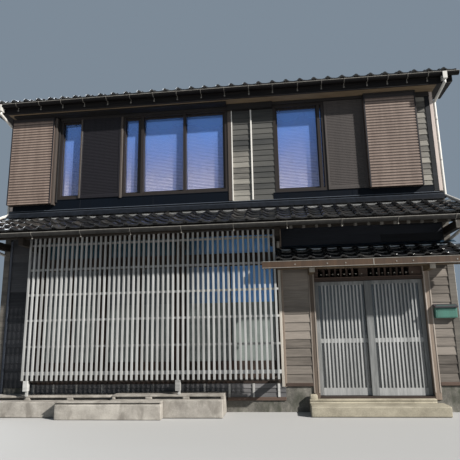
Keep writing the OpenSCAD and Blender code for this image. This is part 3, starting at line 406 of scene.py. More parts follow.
def make_board_finishes():
    wood("floor_boards", (0.12, 0.07, 0.035), (0.30, 0.19, 0.10), "X", rough=(0.4, 0.6))
    wood("wall_boards", (0.040, 0.036, 0.032), (0.16, 0.145, 0.125), "XY", depth=0.002, dirt=0.5, tones=0.15)
    # The front boards get painted shade between the upper windows
    wood("front_boards", (0.065, 0.062, 0.057), (0.26, 0.246, 0.216), "XY", depth=0.003, window_shade=True)
    wood("entrance_boards", (0.062, 0.053, 0.045), (0.235, 0.206, 0.178), "XY", depth=0.003, dirt=0.4)
    wood("bay_boards", (0.009, 0.010, 0.013), (0.045, 0.046, 0.050), "XY", depth=0.002, dirt=0.4)
    # Painted shade: a near-black copy of the boards for the left corner wall
    wood("corner_boards_painted_shade", (0.009, 0.010, 0.013), (0.054, 0.055, 0.060), "XY", depth=0.003, dirt=0.4)
    wood("panel_boards", (0.060, 0.060, 0.062), (0.23, 0.225, 0.230), "XY", depth=0.002, dirt=0.4)
    wood("roof_timber", (0.090, 0.064, 0.038), (0.30, 0.225, 0.145), "XY", grain=90)
    wood("rafter_wood", (0.016, 0.012, 0.009), (0.070, 0.052, 0.038), "XY", grain=90)
    # Near-black paint, used as painted shade on the wall under the pent roof
    wood("dark_paint_and_shade", (0.003, 0.004, 0.006), (0.018, 0.021, 0.029), "XY")
    # Near-black paint, partly standing in as painted shade
    wood("head_paint_and_shade", (0.004, 0.004, 0.005), (0.020, 0.017, 0.016), "X")
    eave_paint("eave_timber")


def make_stick_finishes():
    wood("dark_timber", (0.020, 0.013, 0.010), (0.085, 0.050, 0.034), "XZ")
    wood("post_wood", (0.066, 0.050, 0.038), (0.225, 0.178, 0.142), "Z", grain=120)
    # Painted highlight for the door posts' front edges
    wood("post_edge_highlight", (0.15, 0.126, 0.106), (0.40, 0.350, 0.305), "Z", grain=120)
    wood("beam_wood", (0.028, 0.019, 0.015), (0.090, 0.060, 0.046), "X", grain=120)
    wood("ledger_wood", (0.018, 0.014, 0.011), (0.075, 0.060, 0.048), "X")
    wood("lattice_wood", (0.185, 0.186, 0.183), (0.405, 0.410, 0.405), "Z", grain=170, tones=0.14, dirt=0.2)
    wood("rail_wood", (0.17, 0.169, 0.163), (0.42, 0.418, 0.405), "X", grain=170)
    wood("door_wood", (0.125, 0.130, 0.130), (0.42, 0.425, 0.420), "Z", grain=170, tones=0.36, dirt=0.1)
    wood("trim_wood", (0.24, 0.220, 0.190), (0.50, 0.465, 0.410), "Z", grain=120, dirt=0.5)
    wood("trim_pink", (0.34, 0.285, 0.260), (0.60, 0.525, 0.480), "Z", grain=120)
    wood("trim_blue", (0.034, 0.040, 0.052), (0.10, 0.112, 0.140), "Z", grain=120, dirt=0.4)
    wood("rafter_tips", (0.065, 0.060, 0.053), (0.165, 0.152, 0.134), "Z", grain=120)


def make_metal_finishes():
    metal("bronze_metal", (0.026, 0.021, 0.019), rough=0.38, specular=0.3)
    metal("post_metal", (0.070, 0.057, 0.049), rough=0.4, specular=0.35)
    metal("light_metal", (0.36, 0.35, 0.33), rough=0.4)
    metal("strap_metal", (0.17, 0.158, 0.140), rough=0.4)
    metal("dark_shutter", (0.011, 0.010, 0.0135), rough=0.5, specular=0.3)
    metal("brown_shutter", (0.056, 0.048, 0.045), rough=0.5, specular=0.35)
    metal("gutter_metal", (0.007, 0.006, 0.006), rough=0.45, specular=0.12)
    metal("gutter_grey", (0.036, 0.034, 0.032), shade=0.45, rough=0.45, specular=0.25)
    # Painted highlight: light grey for the gutters' rims and lips
    metal("gutter_rim_highlight", (0.26, 0.245, 0.220), shade=0.6, rough=0.4)
    metal("gutter_brown", (0.078, 0.046, 0.027), shade=0.55, rough=0.45, specular=0.35)
    metal("flashing_metal", (0.003, 0.005, 0.009), rough=0.4, specular=0.10)
    metal("cover_metal", (0.013, 0.016, 0.022), shade=0.4, rough=0.42, specular=0.15)
    metal("cover_edge", (0.085, 0.098, 0.120), rough=0.4, specular=0.3)
    # Dark sheet whose blue is a painted sky reflection
    metal("cover_with_sky_reflection", (0.012, 0.030, 0.050), shade=0.5, rough=0.4, specular=0.25)
    metal("white_pipe", (0.62, 0.60, 0.56), shade=0.72, rough=0.35, coat=0.1)
    metal("blind_slats", (0.80, 0.76, 0.84), shade=0.85, rough=0.4)
    metal("letterbox_metal", (0.050, 0.155, 0.122), shade=0.6, rough=0.4)
    metal("letterbox_roof", (0.040, 0.038, 0.045), rough=0.4)
    shutter_paint("shutter_metal")


def make_stone_finishes():
    stone("base_stone", (0.075, 0.071, 0.063), (0.27, 0.257, 0.222), depth=0.012, moss=(0.045, 0.048, 0.035))
    stone("floor_slab", (0.20, 0.19, 0.17), (0.32, 0.31, 0.28), size=5, depth=0.001)
    stone("step_stone", (0.165, 0.147, 0.110), (0.41, 0.375, 0.290), size=6, depth=0.004)
    stone("ledge_stone", (0.17, 0.156, 0.138), (0.40, 0.375, 0.335), depth=0.008, moss=(0.17, 0.155, 0.135))
    stone("plaster", (0.42, 0.42, 0.41), (0.74, 0.74, 0.73), size=12, depth=0.003)
    # Painted light: a brighter, bluer copy of the plaster for the porch's crescents
    stone("plaster_with_painted_light", (0.72, 0.80, 0.86), (0.90, 0.96, 1.0), size=12, depth=0.002)
    glazed("roof_tile")


def make_glass_finishes():
    # The window glass's deep blue top is a painted sky reflection
    pane("window_glass", (0.20, 0.42, 1.0), (0.36, 0.43, 0.80), (0.78, 0.26), (4.3, 5.5), metallic=0.55)
    pane("door_glass", (0.045, 0.055, 0.060), (0.060, 0.068, 0.068), (0.9, 0.85), (0.8, 2.0), rough=0.2)
    frosted("frosted_glass")


# Shapes

def as_mesh(bm):
    mesh = bpy.data.meshes.new("shape")
    bm.to_mesh(mesh)
    bm.free()
    return mesh


def new_verts(made):
    return [g for g in made if isinstance(g, bmesh.types.BMVert)]


def new_edges(made):
    return [g for g in made if isinstance(g, bmesh.types.BMEdge)]


def joined_line(bm, points):
    """Edges from point to point"""
    line = [bm.verts.new(p) for p in points]
    return [bm.edges.new(pair) for pair in zip(line, line[1:])]


def thick_sheet(bm, thickness):
    """The sheet in bm as a closed mesh with its faces outwards"""
    bmesh.ops.solidify(bm, geom=bm.faces[:], thickness=thickness)
    bmesh.ops.recalc_face_normals(bm, faces=bm.faces)
    return as_mesh(bm)


def round_edges(bm, edges, radius, segments=1):
    bmesh.ops.bevel(bm, geom=edges, offset=radius, offset_type="OFFSET", segments=segments, profile=0.5,
                    affect="EDGES", material=-1)


box_shapes = {}


def box_shape(size, edge=0.0, segments=1):
    """Box round the origin with its edges rounded, kept for the next box of its size"""
    key = (*(round(s, 5) for s in size), edge, segments)
    if key not in box_shapes:
        bm = bmesh.new()
        bmesh.ops.create_cube(bm, size=1.0)
        bmesh.ops.scale(bm, vec=size, verts=bm.verts)
        if edge:
            round_edges(bm, bm.edges[:], edge, segments)
        box_shapes[key] = as_mesh(bm)
    return box_shapes[key]


def rod_shape(length, radius, sides):
    """Round bar from the origin along Z"""
    bm = bmesh.new()
    bmesh.ops.create_cone(bm, cap_ends=True, segments=sides, radius1=radius, radius2=radius, depth=length)
    bmesh.ops.translate(bm, vec=(0, 0, length / 2), verts=bm.verts)
    return as_mesh(bm)


# Pieces

class Piece:
    """One piece of the scene, put together from copies of small shapes, each with its own tone"""

    def __init__(self, name):
        self.name = name
        self.bm = bmesh.new()
        self.layer = self.bm.verts.layers.float.new("tone")

    def add(self, shape, place=Matrix(), tone=None):
        first = len(self.bm.verts)
        self.bm.from_mesh(shape)
        self.bm.verts.ensure_lookup_table()
        value = random.random() if tone is None else tone
        for v in self.bm.verts[first:]:
            v.co = place @ v.co
            v[self.layer] = value
        return self.bm.verts[first:]

    def add_once(self, shape, place=Matrix(), tone=None):
        """Adds a shape that nothing else uses"""
        self.add(shape, place, tone)
        bpy.data.meshes.remove(shape)

    def box(self, low, high, edge=0.003, tone=None, segments=1):
        low, high = Vector(low), Vector(high)
        size = high - low
        edge = min(edge, min(size) * 0.3)
        return self.add(box_shape(size, edge, segments), Matrix.Translation((low + high) / 2), tone)

    def rod(self, a, b, radius, sides, tone=None):
        a, b = Vector(a), Vector(b)
        turn = (b - a).to_track_quat("Z", "Y").to_matrix().to_4x4()
        self.add_once(rod_shape((b - a).length, radius, sides), Matrix.Translation(a) @ turn, tone)

    def cut(self, point, direction):
        """Cuts off what lies on the side that direction points to"""
        geometry = self.bm.verts[:] + self.bm.edges[:] + self.bm.faces[:]
        bmesh.ops.bisect_plane(self.bm, geom=geometry, plane_co=point, plane_no=direction, clear_outer=True)

    def hole(self, x0, x1, z0, z1):
        """Takes out an upright opening in the X-Z plane"""
        beside = 5
        for point, direction in (((x0, 0, 0), (1, 0, 0)), ((x1, 0, 0), (1, 0, 0)),
                                 ((0, 0, z0), (0, 0, 1)), ((0, 0, z1), (0, 0, 1))):
            near = [f for f in self.bm.faces if any(x0 - beside < v.co.x < x1 + beside for v in f.verts)]
            geometry = list({v for f in near for v in f.verts} | {e for f in near for e in f.edges}) + near
            bmesh.ops.bisect_plane(self.bm, geom=geometry, plane_co=point, plane_no=direction)
        inside = [f for f in self.bm.faces
                  if x0 < f.calc_center_median().x < x1 and z0 < f.calc_center_median().z < z1]
        bmesh.ops.delete(self.bm, geom=inside, context="FACES")

    def finish(self, material, slot, body="house", replaces=(), smooth=None, turn=Matrix()):
        """Puts the piece in its place, with its finish, its body and the CAD nodes that it stands for"""
        if smooth is not None:
            bmesh.ops.recalc_face_normals(self.bm, faces=self.bm.faces)
        place = Matrix.Translation((0, STREET, 0)) @ turn
        bmesh.ops.transform(self.bm, matrix=place, verts=self.bm.verts)
        mesh = as_mesh(self.bm)
        mesh.name = self.name
        mesh.materials.append(finishes[material])
        made = bpy.data.objects.new(self.name, mesh)
        bpy.context.scene.collection.objects.link(made)
        if smooth:
            mesh.shade_smooth()
            mesh.set_sharp_from_angle(angle=math.radians(smooth))
        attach(made, body)
        if replaces:
            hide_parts(*replaces)


def sticks(name, material, slot, *sizes):
    """Piece of plain sticks or plates: the low and high corner of each, and its rounding if not 3 mm"""
    piece = Piece(name)
    for size in sizes:
        piece.box(*size)
    piece.finish(material, slot)


def dress(node, material):
    """Gives a CAD node its finish"""
    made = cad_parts[node]
    if not made.material_slots:
        made.data.materials.append(finishes[material])
    for place in made.material_slots:
        place.material = finishes[material]


# Boards

def board_shape(length, pitch, height):
    """One lapped board along X, standing proud at its lower edge, and sawn off at height"""
    lap, foot_y, foot_back, head_y, worn = 0.014, -0.021, -0.010, -0.008, 0.002
    bm = bmesh.new()
    bmesh.ops.create_cube(bm, size=1.0)
    for v in bm.verts:
        low, outer = v.co.z < 0, v.co.y < 0
        v.co.x *= length
        v.co.z = 0 if low else pitch + lap
        v.co.y = (foot_y if low else head_y) if outer else (foot_back if low else 0)
    lower_front = [e for e in bm.edges if all(v.co.z == 0 and v.co.y < foot_back - 0.005 for v in e.verts)]
    round_edges(bm, lower_front, worn)
    if height < pitch + lap:
        geometry = bm.verts[:] + bm.edges[:] + bm.faces[:]
        made = bmesh.ops.bisect_plane(bm, geom=geometry, plane_co=(0, 0, height), plane_no=(0, 0, 1),
                                      clear_outer=True)
        bmesh.ops.edgenet_fill(bm, edges=new_edges(made["geom_cut"]))
    return as_mesh(bm)


def lapped_boards(piece, x0, x1, z0, z1, pitch, longest=BAY):
    """Rows of lapped boards with butt joints, up to z1"""
    shortest, joint = 0.3, 0.002
    for row in range(math.ceil((z1 - z0) / pitch)):
        x, z = x0, z0 + row * pitch
        while x < x1 - 0.001:
            reach = min(longest * random.choice((0.5, 1, 1, 1.5)), x1 - x)
            if x1 - x - reach < shortest:
                reach = x1 - x
            shape = board_shape(reach - joint, pitch, z1 - z)
            piece.add_once(shape, Matrix.Translation((x + reach / 2, random.uniform(-0.0015, 0.0), z)))
            x += reach


def boarded(name, material, slot, pitch, *spans, longest=BAY):
    """Piece of lapped boards on stretches of the front wall: x from, x to, z from and z to of each"""
    piece = Piece(name)
    for span in spans:
        lapped_boards(piece, *span, pitch, longest)
    piece.finish(material, slot)


def board_upper_front():
    """Upper wall, with its three windows left out"""
    upper = Piece("upper_boards")
    lapped_boards(upper, -HALF, HALF, 3.805, SOFFIT_Z, UPPER_BOARD)
    for x0, x1, sill in ((-1.88, 0.26, WIDE_SILL), (-3.2, -2.74, WIDE_SILL), (1.16, 2.15, RIGHT_SILL)):
        upper.hole(x0, x1, sill, WINDOW_TOP)
    upper.finish("front_boards", "front_boards")


def cover_dado():
    """Dark sheets below the windows, with joints every 1.6 m or so and a lip along their top"""
    dado = Piece("dado_sheet")
    for x0, x1, sill in ((-HALF, WINDOW_POST_X, WIDE_SILL), (1.120, CORNER_TRIM_X - 0.090, RIGHT_SILL)):
        top = sill - 0.002
        count = round((x1 - x0) / 1.6)
        for i in range(count):
            a, b = x0 + (x1 - x0) * i / count, x0 + (x1 - x0) * (i + 1) / count
            dado.box((a + 0.001, -0.027, 3.790), (b - 0.001, -0.002, top), 0.002)
        dado.box((x0, -0.034, top - 0.018), (x1, ON_WALL, top))
    dado.finish("flashing_metal", "flashing_metal")
    sticks("flashing_edge", "cover_edge", "flashing_metal",
           ((-HALF, -0.040, FLASHING_TOP - 0.006), (CORNER_TRIM_X, -0.010, FLASHING_TOP + 0.006)),
           ((-HALF, -0.052, FLASHING_TOP - 0.046), (HALF, -0.030, FLASHING_TOP - 0.040), 0.002))


def fix_head_boards():
    """Near-black boards between the windows' heads and the soffit, partly dark head boards and partly
    painted shade on the soffit: x from and to, outer face and foot of each
    """
    heads = ((-4.110, WINDOW_POST_X, -0.262, 5.744), (-3.234, WINDOW_POST_X, -0.060, 5.700),
             (WINDOW_POST_X + 0.002, 1.156, -0.120, 5.660), (1.158, 2.888, -0.090, 5.727),
             (2.890, 3.845, -0.165, 5.742), (3.847, CORNER_TRIM_X, -0.060, 5.690))
    sticks("head_boards", "head_paint_and_shade", "eave_timber",
           *(((x0, y, z0), (x1, ON_WALL, SOFFIT_Z)) for x0, x1, y, z0 in heads))


def board_ground_front():
    """Walls at both sides of the entrance, the wall under the pent roof, and the left corner; the last two
    have near-black boards as painted shade
    """
    boarded("entrance_boards", "entrance_boards", "front_boards", GROUND_BOARD,
            (TRIM_X, POST_X0, ENTRANCE_FOOT, RECESS_Z0), (DOOR_X1 + POST_W, HALF, ENTRANCE_FOOT, RECESS_Z0))
    # Painted shade: near-black boards on the wall under the pent roof
    boarded("recess_boards", "dark_paint_and_shade", "bay_boards", GROUND_BOARD,
            (TRIM_X, HALF, RECESS_Z0, GROUND_TOP))
    # Painted shade: near-black boards on the left corner wall
    boarded("corner_wall_boards", "corner_boards_painted_shade", "bay_boards", GROUND_BOARD,
            (-HALF, LATTICE_X0, BASE_TOP, GROUND_TOP))


def board_sides():
    """Side walls, boarded past the ridge and cut to the gables' slopes"""
    boards_top, below_deck = 7.74, 0.075
    for name, side, x0 in (("left_boards", -1, -DEPTH), ("right_boards", 1, 0)):
        piece = Piece(name)
        lapped_boards(piece, x0, x0 + DEPTH, BASE_TOP, boards_top, SIDE_BOARD, 1.5 * BAY)
        ridge_x, ridge_z = x0 + DEPTH / 2, MAIN_DECK - below_deck + SLOPE * DEPTH / 2
        for slope in (SLOPE, -SLOPE):
            piece.cut((ridge_x, 0, ridge_z), (slope, 0, 1))
        turn = Matrix.Translation((side * HALF, 0, 0)) @ Matrix.Rotation(side * math.pi / 2, 4, "Z")
        piece.finish("wall_boards", "wall_boards", turn=turn)


def board_back():
    """Back wall, with two windows in each storey"""
    window_half, window_height = 0.85, 1.15
    back = Piece("back_boards")
    lapped_boards(back, -HALF, HALF, BASE_TOP, SOFFIT_Z, SIDE_BOARD, 1.5 * BAY)
    for x in (-2.1, 2.1):
        for sill in (1.25, 4.35):
            back.hole(x - window_half, x + window_half, sill, sill + window_height)
    back.finish("wall_boards", "wall_boards", turn=TO_BACK)


def set_corner_posts():
    """Posts round the four corners, the front ones up to the pent roof"""
    width, proud = 0.118, 0.028
    posts = Piece("corner_posts")
    for side in (-1, 1):
        x0, x1 = sorted((side * (HALF - 0.09), side * (HALF + 0.026)))
        for y, top in ((-proud, GROUND_TOP), (DEPTH + proud - width, SOFFIT_Z)):
            posts.box((x0, y, BASE_TOP), (x1, y + width, top))
    posts.finish("wall_boards", "wall_boards")


def trim_upper_front():
    """Corner trims, window posts, shutter box edges and the white battens"""
    sticks("corner_trim", "trim_pink", "front_boards",
           ((4.130, -0.034, UPPER_FOOT), (4.192, ON_WALL, SOFFIT_Z)),
           ((-4.192, -0.034, UPPER_FOOT), (-4.130, ON_WALL, 3.91)))
    sticks("corner_strip", "dark_paint_and_shade", "dark_timber",
           ((CORNER_TRIM_X - 0.080, -0.030, UPPER_FOOT), (CORNER_TRIM_X, ON_WALL, SOFFIT_Z)))

    posts = Piece("window_posts")
    posts.box((-3.283, -0.118, 3.895), (-3.236, ON_WALL, 5.735), 0.006, segments=2)
    posts.box((-1.912, -0.052, 3.985), (-1.868, ON_WALL, WINDOW_TOP), 0.004)
    posts.box((0.263, -0.040, UPPER_FOOT), (0.334, ON_WALL, 5.700), 0.004)
    posts.finish("post_metal", "bronze_metal")
    # Near-black strip: painted shade in the gap beside the window post
    sticks("window_inner_posts", "head_paint_and_shade", "dark_timber",
           ((-3.236, -0.060, 3.95), (-3.196, ON_WALL, SOFFIT_Z), 0.004))
    box_edges = (-4.198, -3.311, 2.892, 3.819)
    sticks("shutter_box_edges", "dark_shutter", "shutter_metal",
           *(((x, -0.1535, 3.922), (x + 0.024, -0.1485, 5.738), 0.001) for x in box_edges))
    sticks("white_battens", "white_pipe", "white_pipe",
           ((0.336, -0.044, 3.815), (0.354, ON_WALL, 5.700), 0.002),
           ((0.712, -0.046, 3.815), (0.740, -0.020, 5.660), 0.004))


def trim_ground_front():
    """Trims beside the bay and at the left corner, sills under the boards, and the panel under the bay"""
    sticks("bay_trims", "trim_wood", "front_boards",
           ((1.135, -0.036, BASE_TOP), (1.182, ON_WALL, GROUND_TOP), 0.004))
    sticks("bay_jamb", "post_wood", "front_boards",
           ((1.184, -0.030, BASE_TOP), (1.222, ON_WALL, GROUND_TOP)))
    sticks("left_trim", "trim_blue", "front_boards",
           ((-4.100, -0.036, 0.30), (-4.055, ON_WALL, 3.2), 0.004))
    sticks("ground_sills", "beam_wood", "post_wood",
           ((0.168, -0.026, 0.192), (TRIM_X, ON_WALL, PANEL_Z0), 0.004),
           ((TRIM_X, -0.030, 0.425), (POST_X0, ON_WALL, 0.482), 0.004),
           ((DOOR_X1 + POST_W, -0.030, 0.425), (HALF, ON_WALL, 0.482), 0.004))

    boarded("bay_panel_boards", "panel_boards", "bay_boards", PANEL_BOARD,
            (LATTICE_X0, TRIM_X, PANEL_Z0, PANEL_Z1), longest=2.4)
    battens = (-3.453, -3.052, -2.615, -2.119, -1.640, -1.186, -0.698, -0.237, 0.205, 0.636, 1.077)
    sticks("bay_panel_battens", "rail_wood", "bay_boards",
           *(((x - 0.020, -0.036, PANEL_Z0), (x + 0.020, ON_WALL, PANEL_Z1)) for x in battens))


# Roof tiles

def tile_height(u):
    """Height of the tiles over their deck at u, which is 0 on a roll's top and 1 on the next one's"""
    c = abs(math.cos(math.pi * u))
    return TILE_FLAT + TILE_ROLL * (c ** 2 + 2 * c ** 10) / 3


def tile_shape(width, length, lines=TILE_LINES):
    """One pantile, with a roll at its left, a hollow at its right, and its back under the next course"""
    lip, drop = 0.020, 0.024
    bm = bmesh.new()
    heights = [tile_height(u) - max(0.0, (u - 0.62)) ** 2 * 0.25 for u in lines]
    edges = joined_line(bm, [(u * width, 0, max(0.002, h - lip)) for u, h in zip(lines, heights)])
    for y, fall in ((-0.001, 0.006), (0.007, 0), (length, drop)):
        made = bmesh.ops.extrude_edge_only(bm, edges=edges)["geom"]
        verts = sorted(new_verts(made), key=lambda v: v.co.x)
        for v, height in zip(verts, heights):
            v.co.y, v.co.z = y, height - fall
        edges = [e for e in new_edges(made) if all(v in verts for v in e.verts)]
    return thick_sheet(bm, 0.010)


def knob_shape():
    """Round end that closes an eave tile's roll"""
    bm = bmesh.new()
    bmesh.ops.create_uvsphere(bm, u_segments=12, v_segments=6, radius=0.031)
    bmesh.ops.scale(bm, vec=(1, 0.6, 1), verts=bm.verts)
    return as_mesh(bm)


def lay_tiles(piece, place, first, columns, width, length, top_room=0.0, ends=True):
    """Tiles on a slope: rows from the eave up, columns from the first roll's x on, a strip at each end"""
    edge_u = TILE_LINES[-1]
    plain = tile_shape(width, COURSE + 0.03)
    left = tile_shape(width, COURSE + 0.03, lines=TILE_LINES[5:])
    knob = knob_shape()
    verge = box_shape((0.018, COURSE + 0.012, 0.085), 0.004)
    low, high = first - (edge_u * width if ends else 0), first + (columns + edge_u) * width
    eave = box_shape((high - low, 0.012, 0.042), 0.002)
    piece.add(eave, place @ Matrix.Translation(((low + high) / 2, 0.036, 0.022)), 0)
    for row in range(math.ceil((length - top_room) / COURSE)):
        start = row * COURSE
        for column in range(-1 if ends else 0, columns + 1):
            x = first + column * width
            aside, lift = random.uniform(-0.001, 0.001), random.uniform(-0.0015, 0.0005)
            shape = left if column < 0 else plain
            piece.add(shape, place @ Matrix.Translation((x + aside, start, lift if row else 0)))
            if row == 0 and column >= 0:
                piece.add(knob, place @ Matrix.Translation((x, 0.014, 0.060)))
        if ends:
            for x in (first - edge_u * width + 0.004, first + (columns + edge_u) * width - 0.022):
                piece.add(verge, place @ Matrix.Translation((x + 0.009, start + COURSE / 2, 0.012)))


def on_slope(deck, out):
    """Place on a deck that is this high at the wall, out from the wall, with Y up the slope"""
    return Matrix.Translation((0, -out, deck - SLOPE * out)) @ Matrix.Rotation(LEAN, 4, "X")


def tile_roof(name, node, place, tiles, length, cut_y, cut_towards=1, **ends):
    """One roof's tiles, cut off at the ridge or wall; tiles holds the first roll's x, columns and width"""
    piece = Piece(name)
    lay_tiles(piece, place, *tiles, length / math.cos(LEAN), **ends)
    piece.cut((0, cut_y, 0), (0, cut_towards, 0))
    piece.finish("roof_tile", "roof_tile", replaces=[node], smooth=58)


def tile_roofs():
    tiles = (-TILE_COLUMNS * TILE_W / 2, TILE_COLUMNS, TILE_W)
    main = on_slope(MAIN_DECK, MAIN_LIP)
    ridge_y, main_length = DEPTH / 2, DEPTH / 2 + MAIN_LIP
    tile_roof("front_tiles", "front_roof_tiles", main, tiles, main_length, ridge_y - 0.01, top_room=0.12)
    tile_roof("back_tiles", "back_roof_tiles", TO_BACK @ main, tiles, main_length, ridge_y + 0.01, -1,
              top_room=0.12)
    tile_roof("lower_tiles", "lower_roof_tiles", on_slope(LOWER_DECK, LOWER_LIP), tiles, LOWER_LIP, ON_WALL)
    tile_roof("porch_tiles", "porch_roof_tiles", on_slope(PORCH_DECK, PORCH_LIP),
              (PORCH_FIRST_ROLL, PORCH_COLUMNS - 1, PORCH_TILE_W), PORCH_LIP, ON_WALL, ends=False)


def crescent_shape(width):
    """Plaster that fills the hollow between two rolls, flat along its top"""
    u0, reach, points, top = 0.14, 0.72, 10, 0.070
    across = [u0 + reach * i / points for i in range(points + 1)]
    bm = bmesh.new()
    edges = joined_line(bm, [((u - 0.5) * width, 0, tile_height(u) - 0.006) for u in across])
    for v in new_verts(bmesh.ops.extrude_edge_only(bm, edges=edges)["geom"]):
        v.co.z = top
    return thick_sheet(bm, 0.02)


def fill_with_plaster():
    """Crescents between the rolls where each roof's tiles meet the flashing"""
    lower = Piece("plaster_fillets")
    shape = crescent_shape(TILE_W)
    place = on_slope(LOWER_DECK, 0.128)
    for i in range(TILE_COLUMNS):
        x = (i + 0.5 - TILE_COLUMNS / 2) * TILE_W
        if abs(x) < HALF:
            aside, lift = random.uniform(-0.004, 0.004), random.uniform(-0.004, 0.002)
            lower.add(shape, place @ Matrix.Translation((x + aside, 0, lift)))
    lower.finish("plaster", "roof_tile")

    # The porch's crescents take the brighter copy of the plaster: painted light
    porch = Piece("porch_fillets")
    shape = crescent_shape(PORCH_TILE_W)
    place = on_slope(PORCH_DECK, 0.085)
    for i in range(PORCH_COLUMNS - 1):
        x = PORCH_FIRST_ROLL + (i + 0.5) * PORCH_TILE_W
        porch.add(shape, place @ Matrix.Translation((x, 0, random.uniform(-0.004, 0.002))))
    porch.finish("plaster_with_painted_light", "roof_tile")


def flash_porch():
    """Sheet over the porch roof's top course, turned up against the wall"""
    x0, x1, length, width, out = 1.205, 4.19, 3.08, 0.118, 0.055
    z0 = PORCH_DECK - SLOPE * 2 * out + TILE_TOP
    sheet = Piece("porch_flashing")
    middle = (x0 + length / 2, -0.054, z0 + SLOPE * out + 0.004)
    shape = box_shape((length, width, 0.006), 0.002)
    sheet.add(shape, Matrix.Translation(middle) @ Matrix.Rotation(LEAN, 4, "X"))
    sheet.box((x0, -0.010, z0 + 0.045), (x1, ON_WALL, z0 + 0.13), 0.002)
    # Its blue is a painted sky reflection
    sheet.finish("cover_with_sky_reflection", "flashing_metal")


def build_ridge():
    """Flat ridge tiles in five layers with round cap tiles, and a plain end plate at each gable"""
    layers, flats, caps = 5, 30, 36
    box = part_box("ridge")
    x0, x1, y = box[0].x, box[1].x, DEPTH / 2
    top = MAIN_DECK + SLOPE * DEPTH / 2 + TILE_TOP
    piece = Piece("ridge_tiles")
    for layer in range(layers):
        half, z = 0.142 - layer * 0.009, top - 0.012 + layer * 0.030
        for i in range(flats):
            a = x0 + (x1 - x0) * i / flats
            b = a + (x1 - x0) / flats
            piece.box((a + 0.001, y - half, z), (b - 0.001, y + half, z + 0.026), 0.004)
    piece.box((x0 + 0.004, y - 0.12, top - 0.085), (x1 - 0.004, y + 0.12, top + 0.14), 0.01)
    z = top + 0.145
    for i in range(caps):
        a, b = x0 + (x1 - x0) * i / caps, x0 + (x1 - x0) * (i + 1) / caps
        piece.rod((a, y, z), (b, y, z), 0.076, 20)
        piece.rod((a, y, z), (a + 0.035, y, z), 0.084, 20)
    for x in (x0, x1 - 0.05):
        piece.box((x, y - 0.148, top - 0.06), (x + 0.05, y + 0.148, top + 0.15), 0.018, segments=3)
        piece.rod((x, y, z), (x + 0.05, y, z), 0.090, 24)
    piece.finish("roof_tile", "roof_tile", replaces=["ridge"], smooth=35)


# Gutters and pipes

def hook_shape():
    """Strap under a half-round gutter, from its back edge round to its front edge"""
    radius, width = 0.0635, 0.009
    bm = bmesh.new()
    line = [bm.verts.new((x, radius, 0)) for x in (-width / 2, width / 2)]
    edge = bm.edges.new(line)
    bmesh.ops.spin(bm, geom=[*line, edge], cent=(0, 0, 0), axis=(1, 0, 0), angle=-math.pi, steps=10,
                   use_duplicate=False)
    bmesh.ops.remove_doubles(bm, verts=bm.verts, dist=1e-5)
    return thick_sheet(bm, 0.003)


def strap_upper_gutters():
    """Straps with a hook in front and a hanger behind, and the rolled rims, at the front and at the back"""
    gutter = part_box("upper_gutters")
    rim, y = gutter[1].z, -MAIN_LIP
    straps = Piece("upper_gutter_hooks")
    hook = hook_shape()
    for turn in (Matrix(), TO_BACK):
        for x in HOOKS:
            straps.add(hook, turn @ Matrix.Translation((x, y, rim)))
            for half, y0, y1, z0, z1 in ((0.007, -0.074, -0.058, -0.012, 0.004),
                                         (0.007, 0.052, 0.058, -0.115, 0.002),
                                         (0.013, 0.046, 0.058, -0.126, -0.100)):
                for v in straps.box((x - half, y + y0, rim + z0), (x + half, y + y1, rim + z1), 0.001):
                    v.co = turn @ v.co
    straps.finish("strap_metal", "gutter_metal")
    # Rims light grey as a painted highlight
    rims = Piece("upper_gutter_rims")
    for rim_y in (y - 0.060, DEPTH - y + 0.060):
        rims.rod((gutter[0].x, rim_y, rim - 0.001), (gutter[1].x, rim_y, rim - 0.001), 0.0052, 8)
    rims.finish("gutter_rim_highlight", "gutter_metal")


def strap_lower_gutter():
    """Straps over and under the pent roof's gutter, each with a short bolt below it, and the rolled rim"""
    count, first, pitch, radius = 10, -4.030, 0.893, 0.06
    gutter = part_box("lower_gutter")
    rim, y = gutter[0].z + radius, gutter[0].y - STREET + radius
    straps = Piece("lower_gutter_hooks")
    hook = hook_shape()
    for i in range(count):
        x = first + pitch * i
        straps.add(hook, Matrix.Translation((x, y, rim)))
        straps.box((x - 0.006, y - 0.074, rim - 0.012), (x + 0.006, y - 0.058, rim + 0.005), 0.001)
        straps.box((x - 0.006, y - 0.062, rim + 0.001), (x + 0.006, y + 0.060, rim + 0.005), 0.001)
        straps.rod((x, y - 0.004, rim - 0.062), (x, y + 0.004, rim - 0.098), 0.006, 8)
        straps.rod((x, y + 0.004, rim - 0.092), (x, y + 0.004, rim - 0.110), 0.012, 10)
    straps.finish("strap_metal", "gutter_grey")
    # Rim light grey as a painted highlight
    rims = Piece("lower_gutter_rim")
    rims.rod((gutter[0].x, y - 0.060, rim - 0.001), (gutter[1].x, y - 0.060, rim - 0.001), 0.0055, 8)
    rims.finish("gutter_rim_highlight", "gutter_grey")


def edge_porch_gutter():
    """Lips along the box gutter's top and foot, a joint, and the round heads of its fixings, all light as a
    painted highlight
    """
    low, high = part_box("porch_gutter")
    y, top = low.y - STREET, high.z
    edge = Piece("porch_gutter_edge")
    edge.box((low.x - 0.003, y - 0.004, top - 0.006), (high.x + 0.003, y + 0.006, top + 0.004), 0.002)
    edge.box((low.x, y - 0.003, low.z - 0.002), (high.x, y + 0.004, low.z + 0.007), 0.002)
    edge.box((2.738, y - 0.004, low.z - 0.003), (2.750, y + 0.004, top), 0.001)
    for x in (1.44, 1.98, 2.285, 3.114, 3.38, 4.08):
        edge.rod((x, y + 0.002, top - 0.062), (x, y - 0.006, top - 0.062), 0.011, 10)
    edge.finish("gutter_rim_highlight", "gutter_brown")


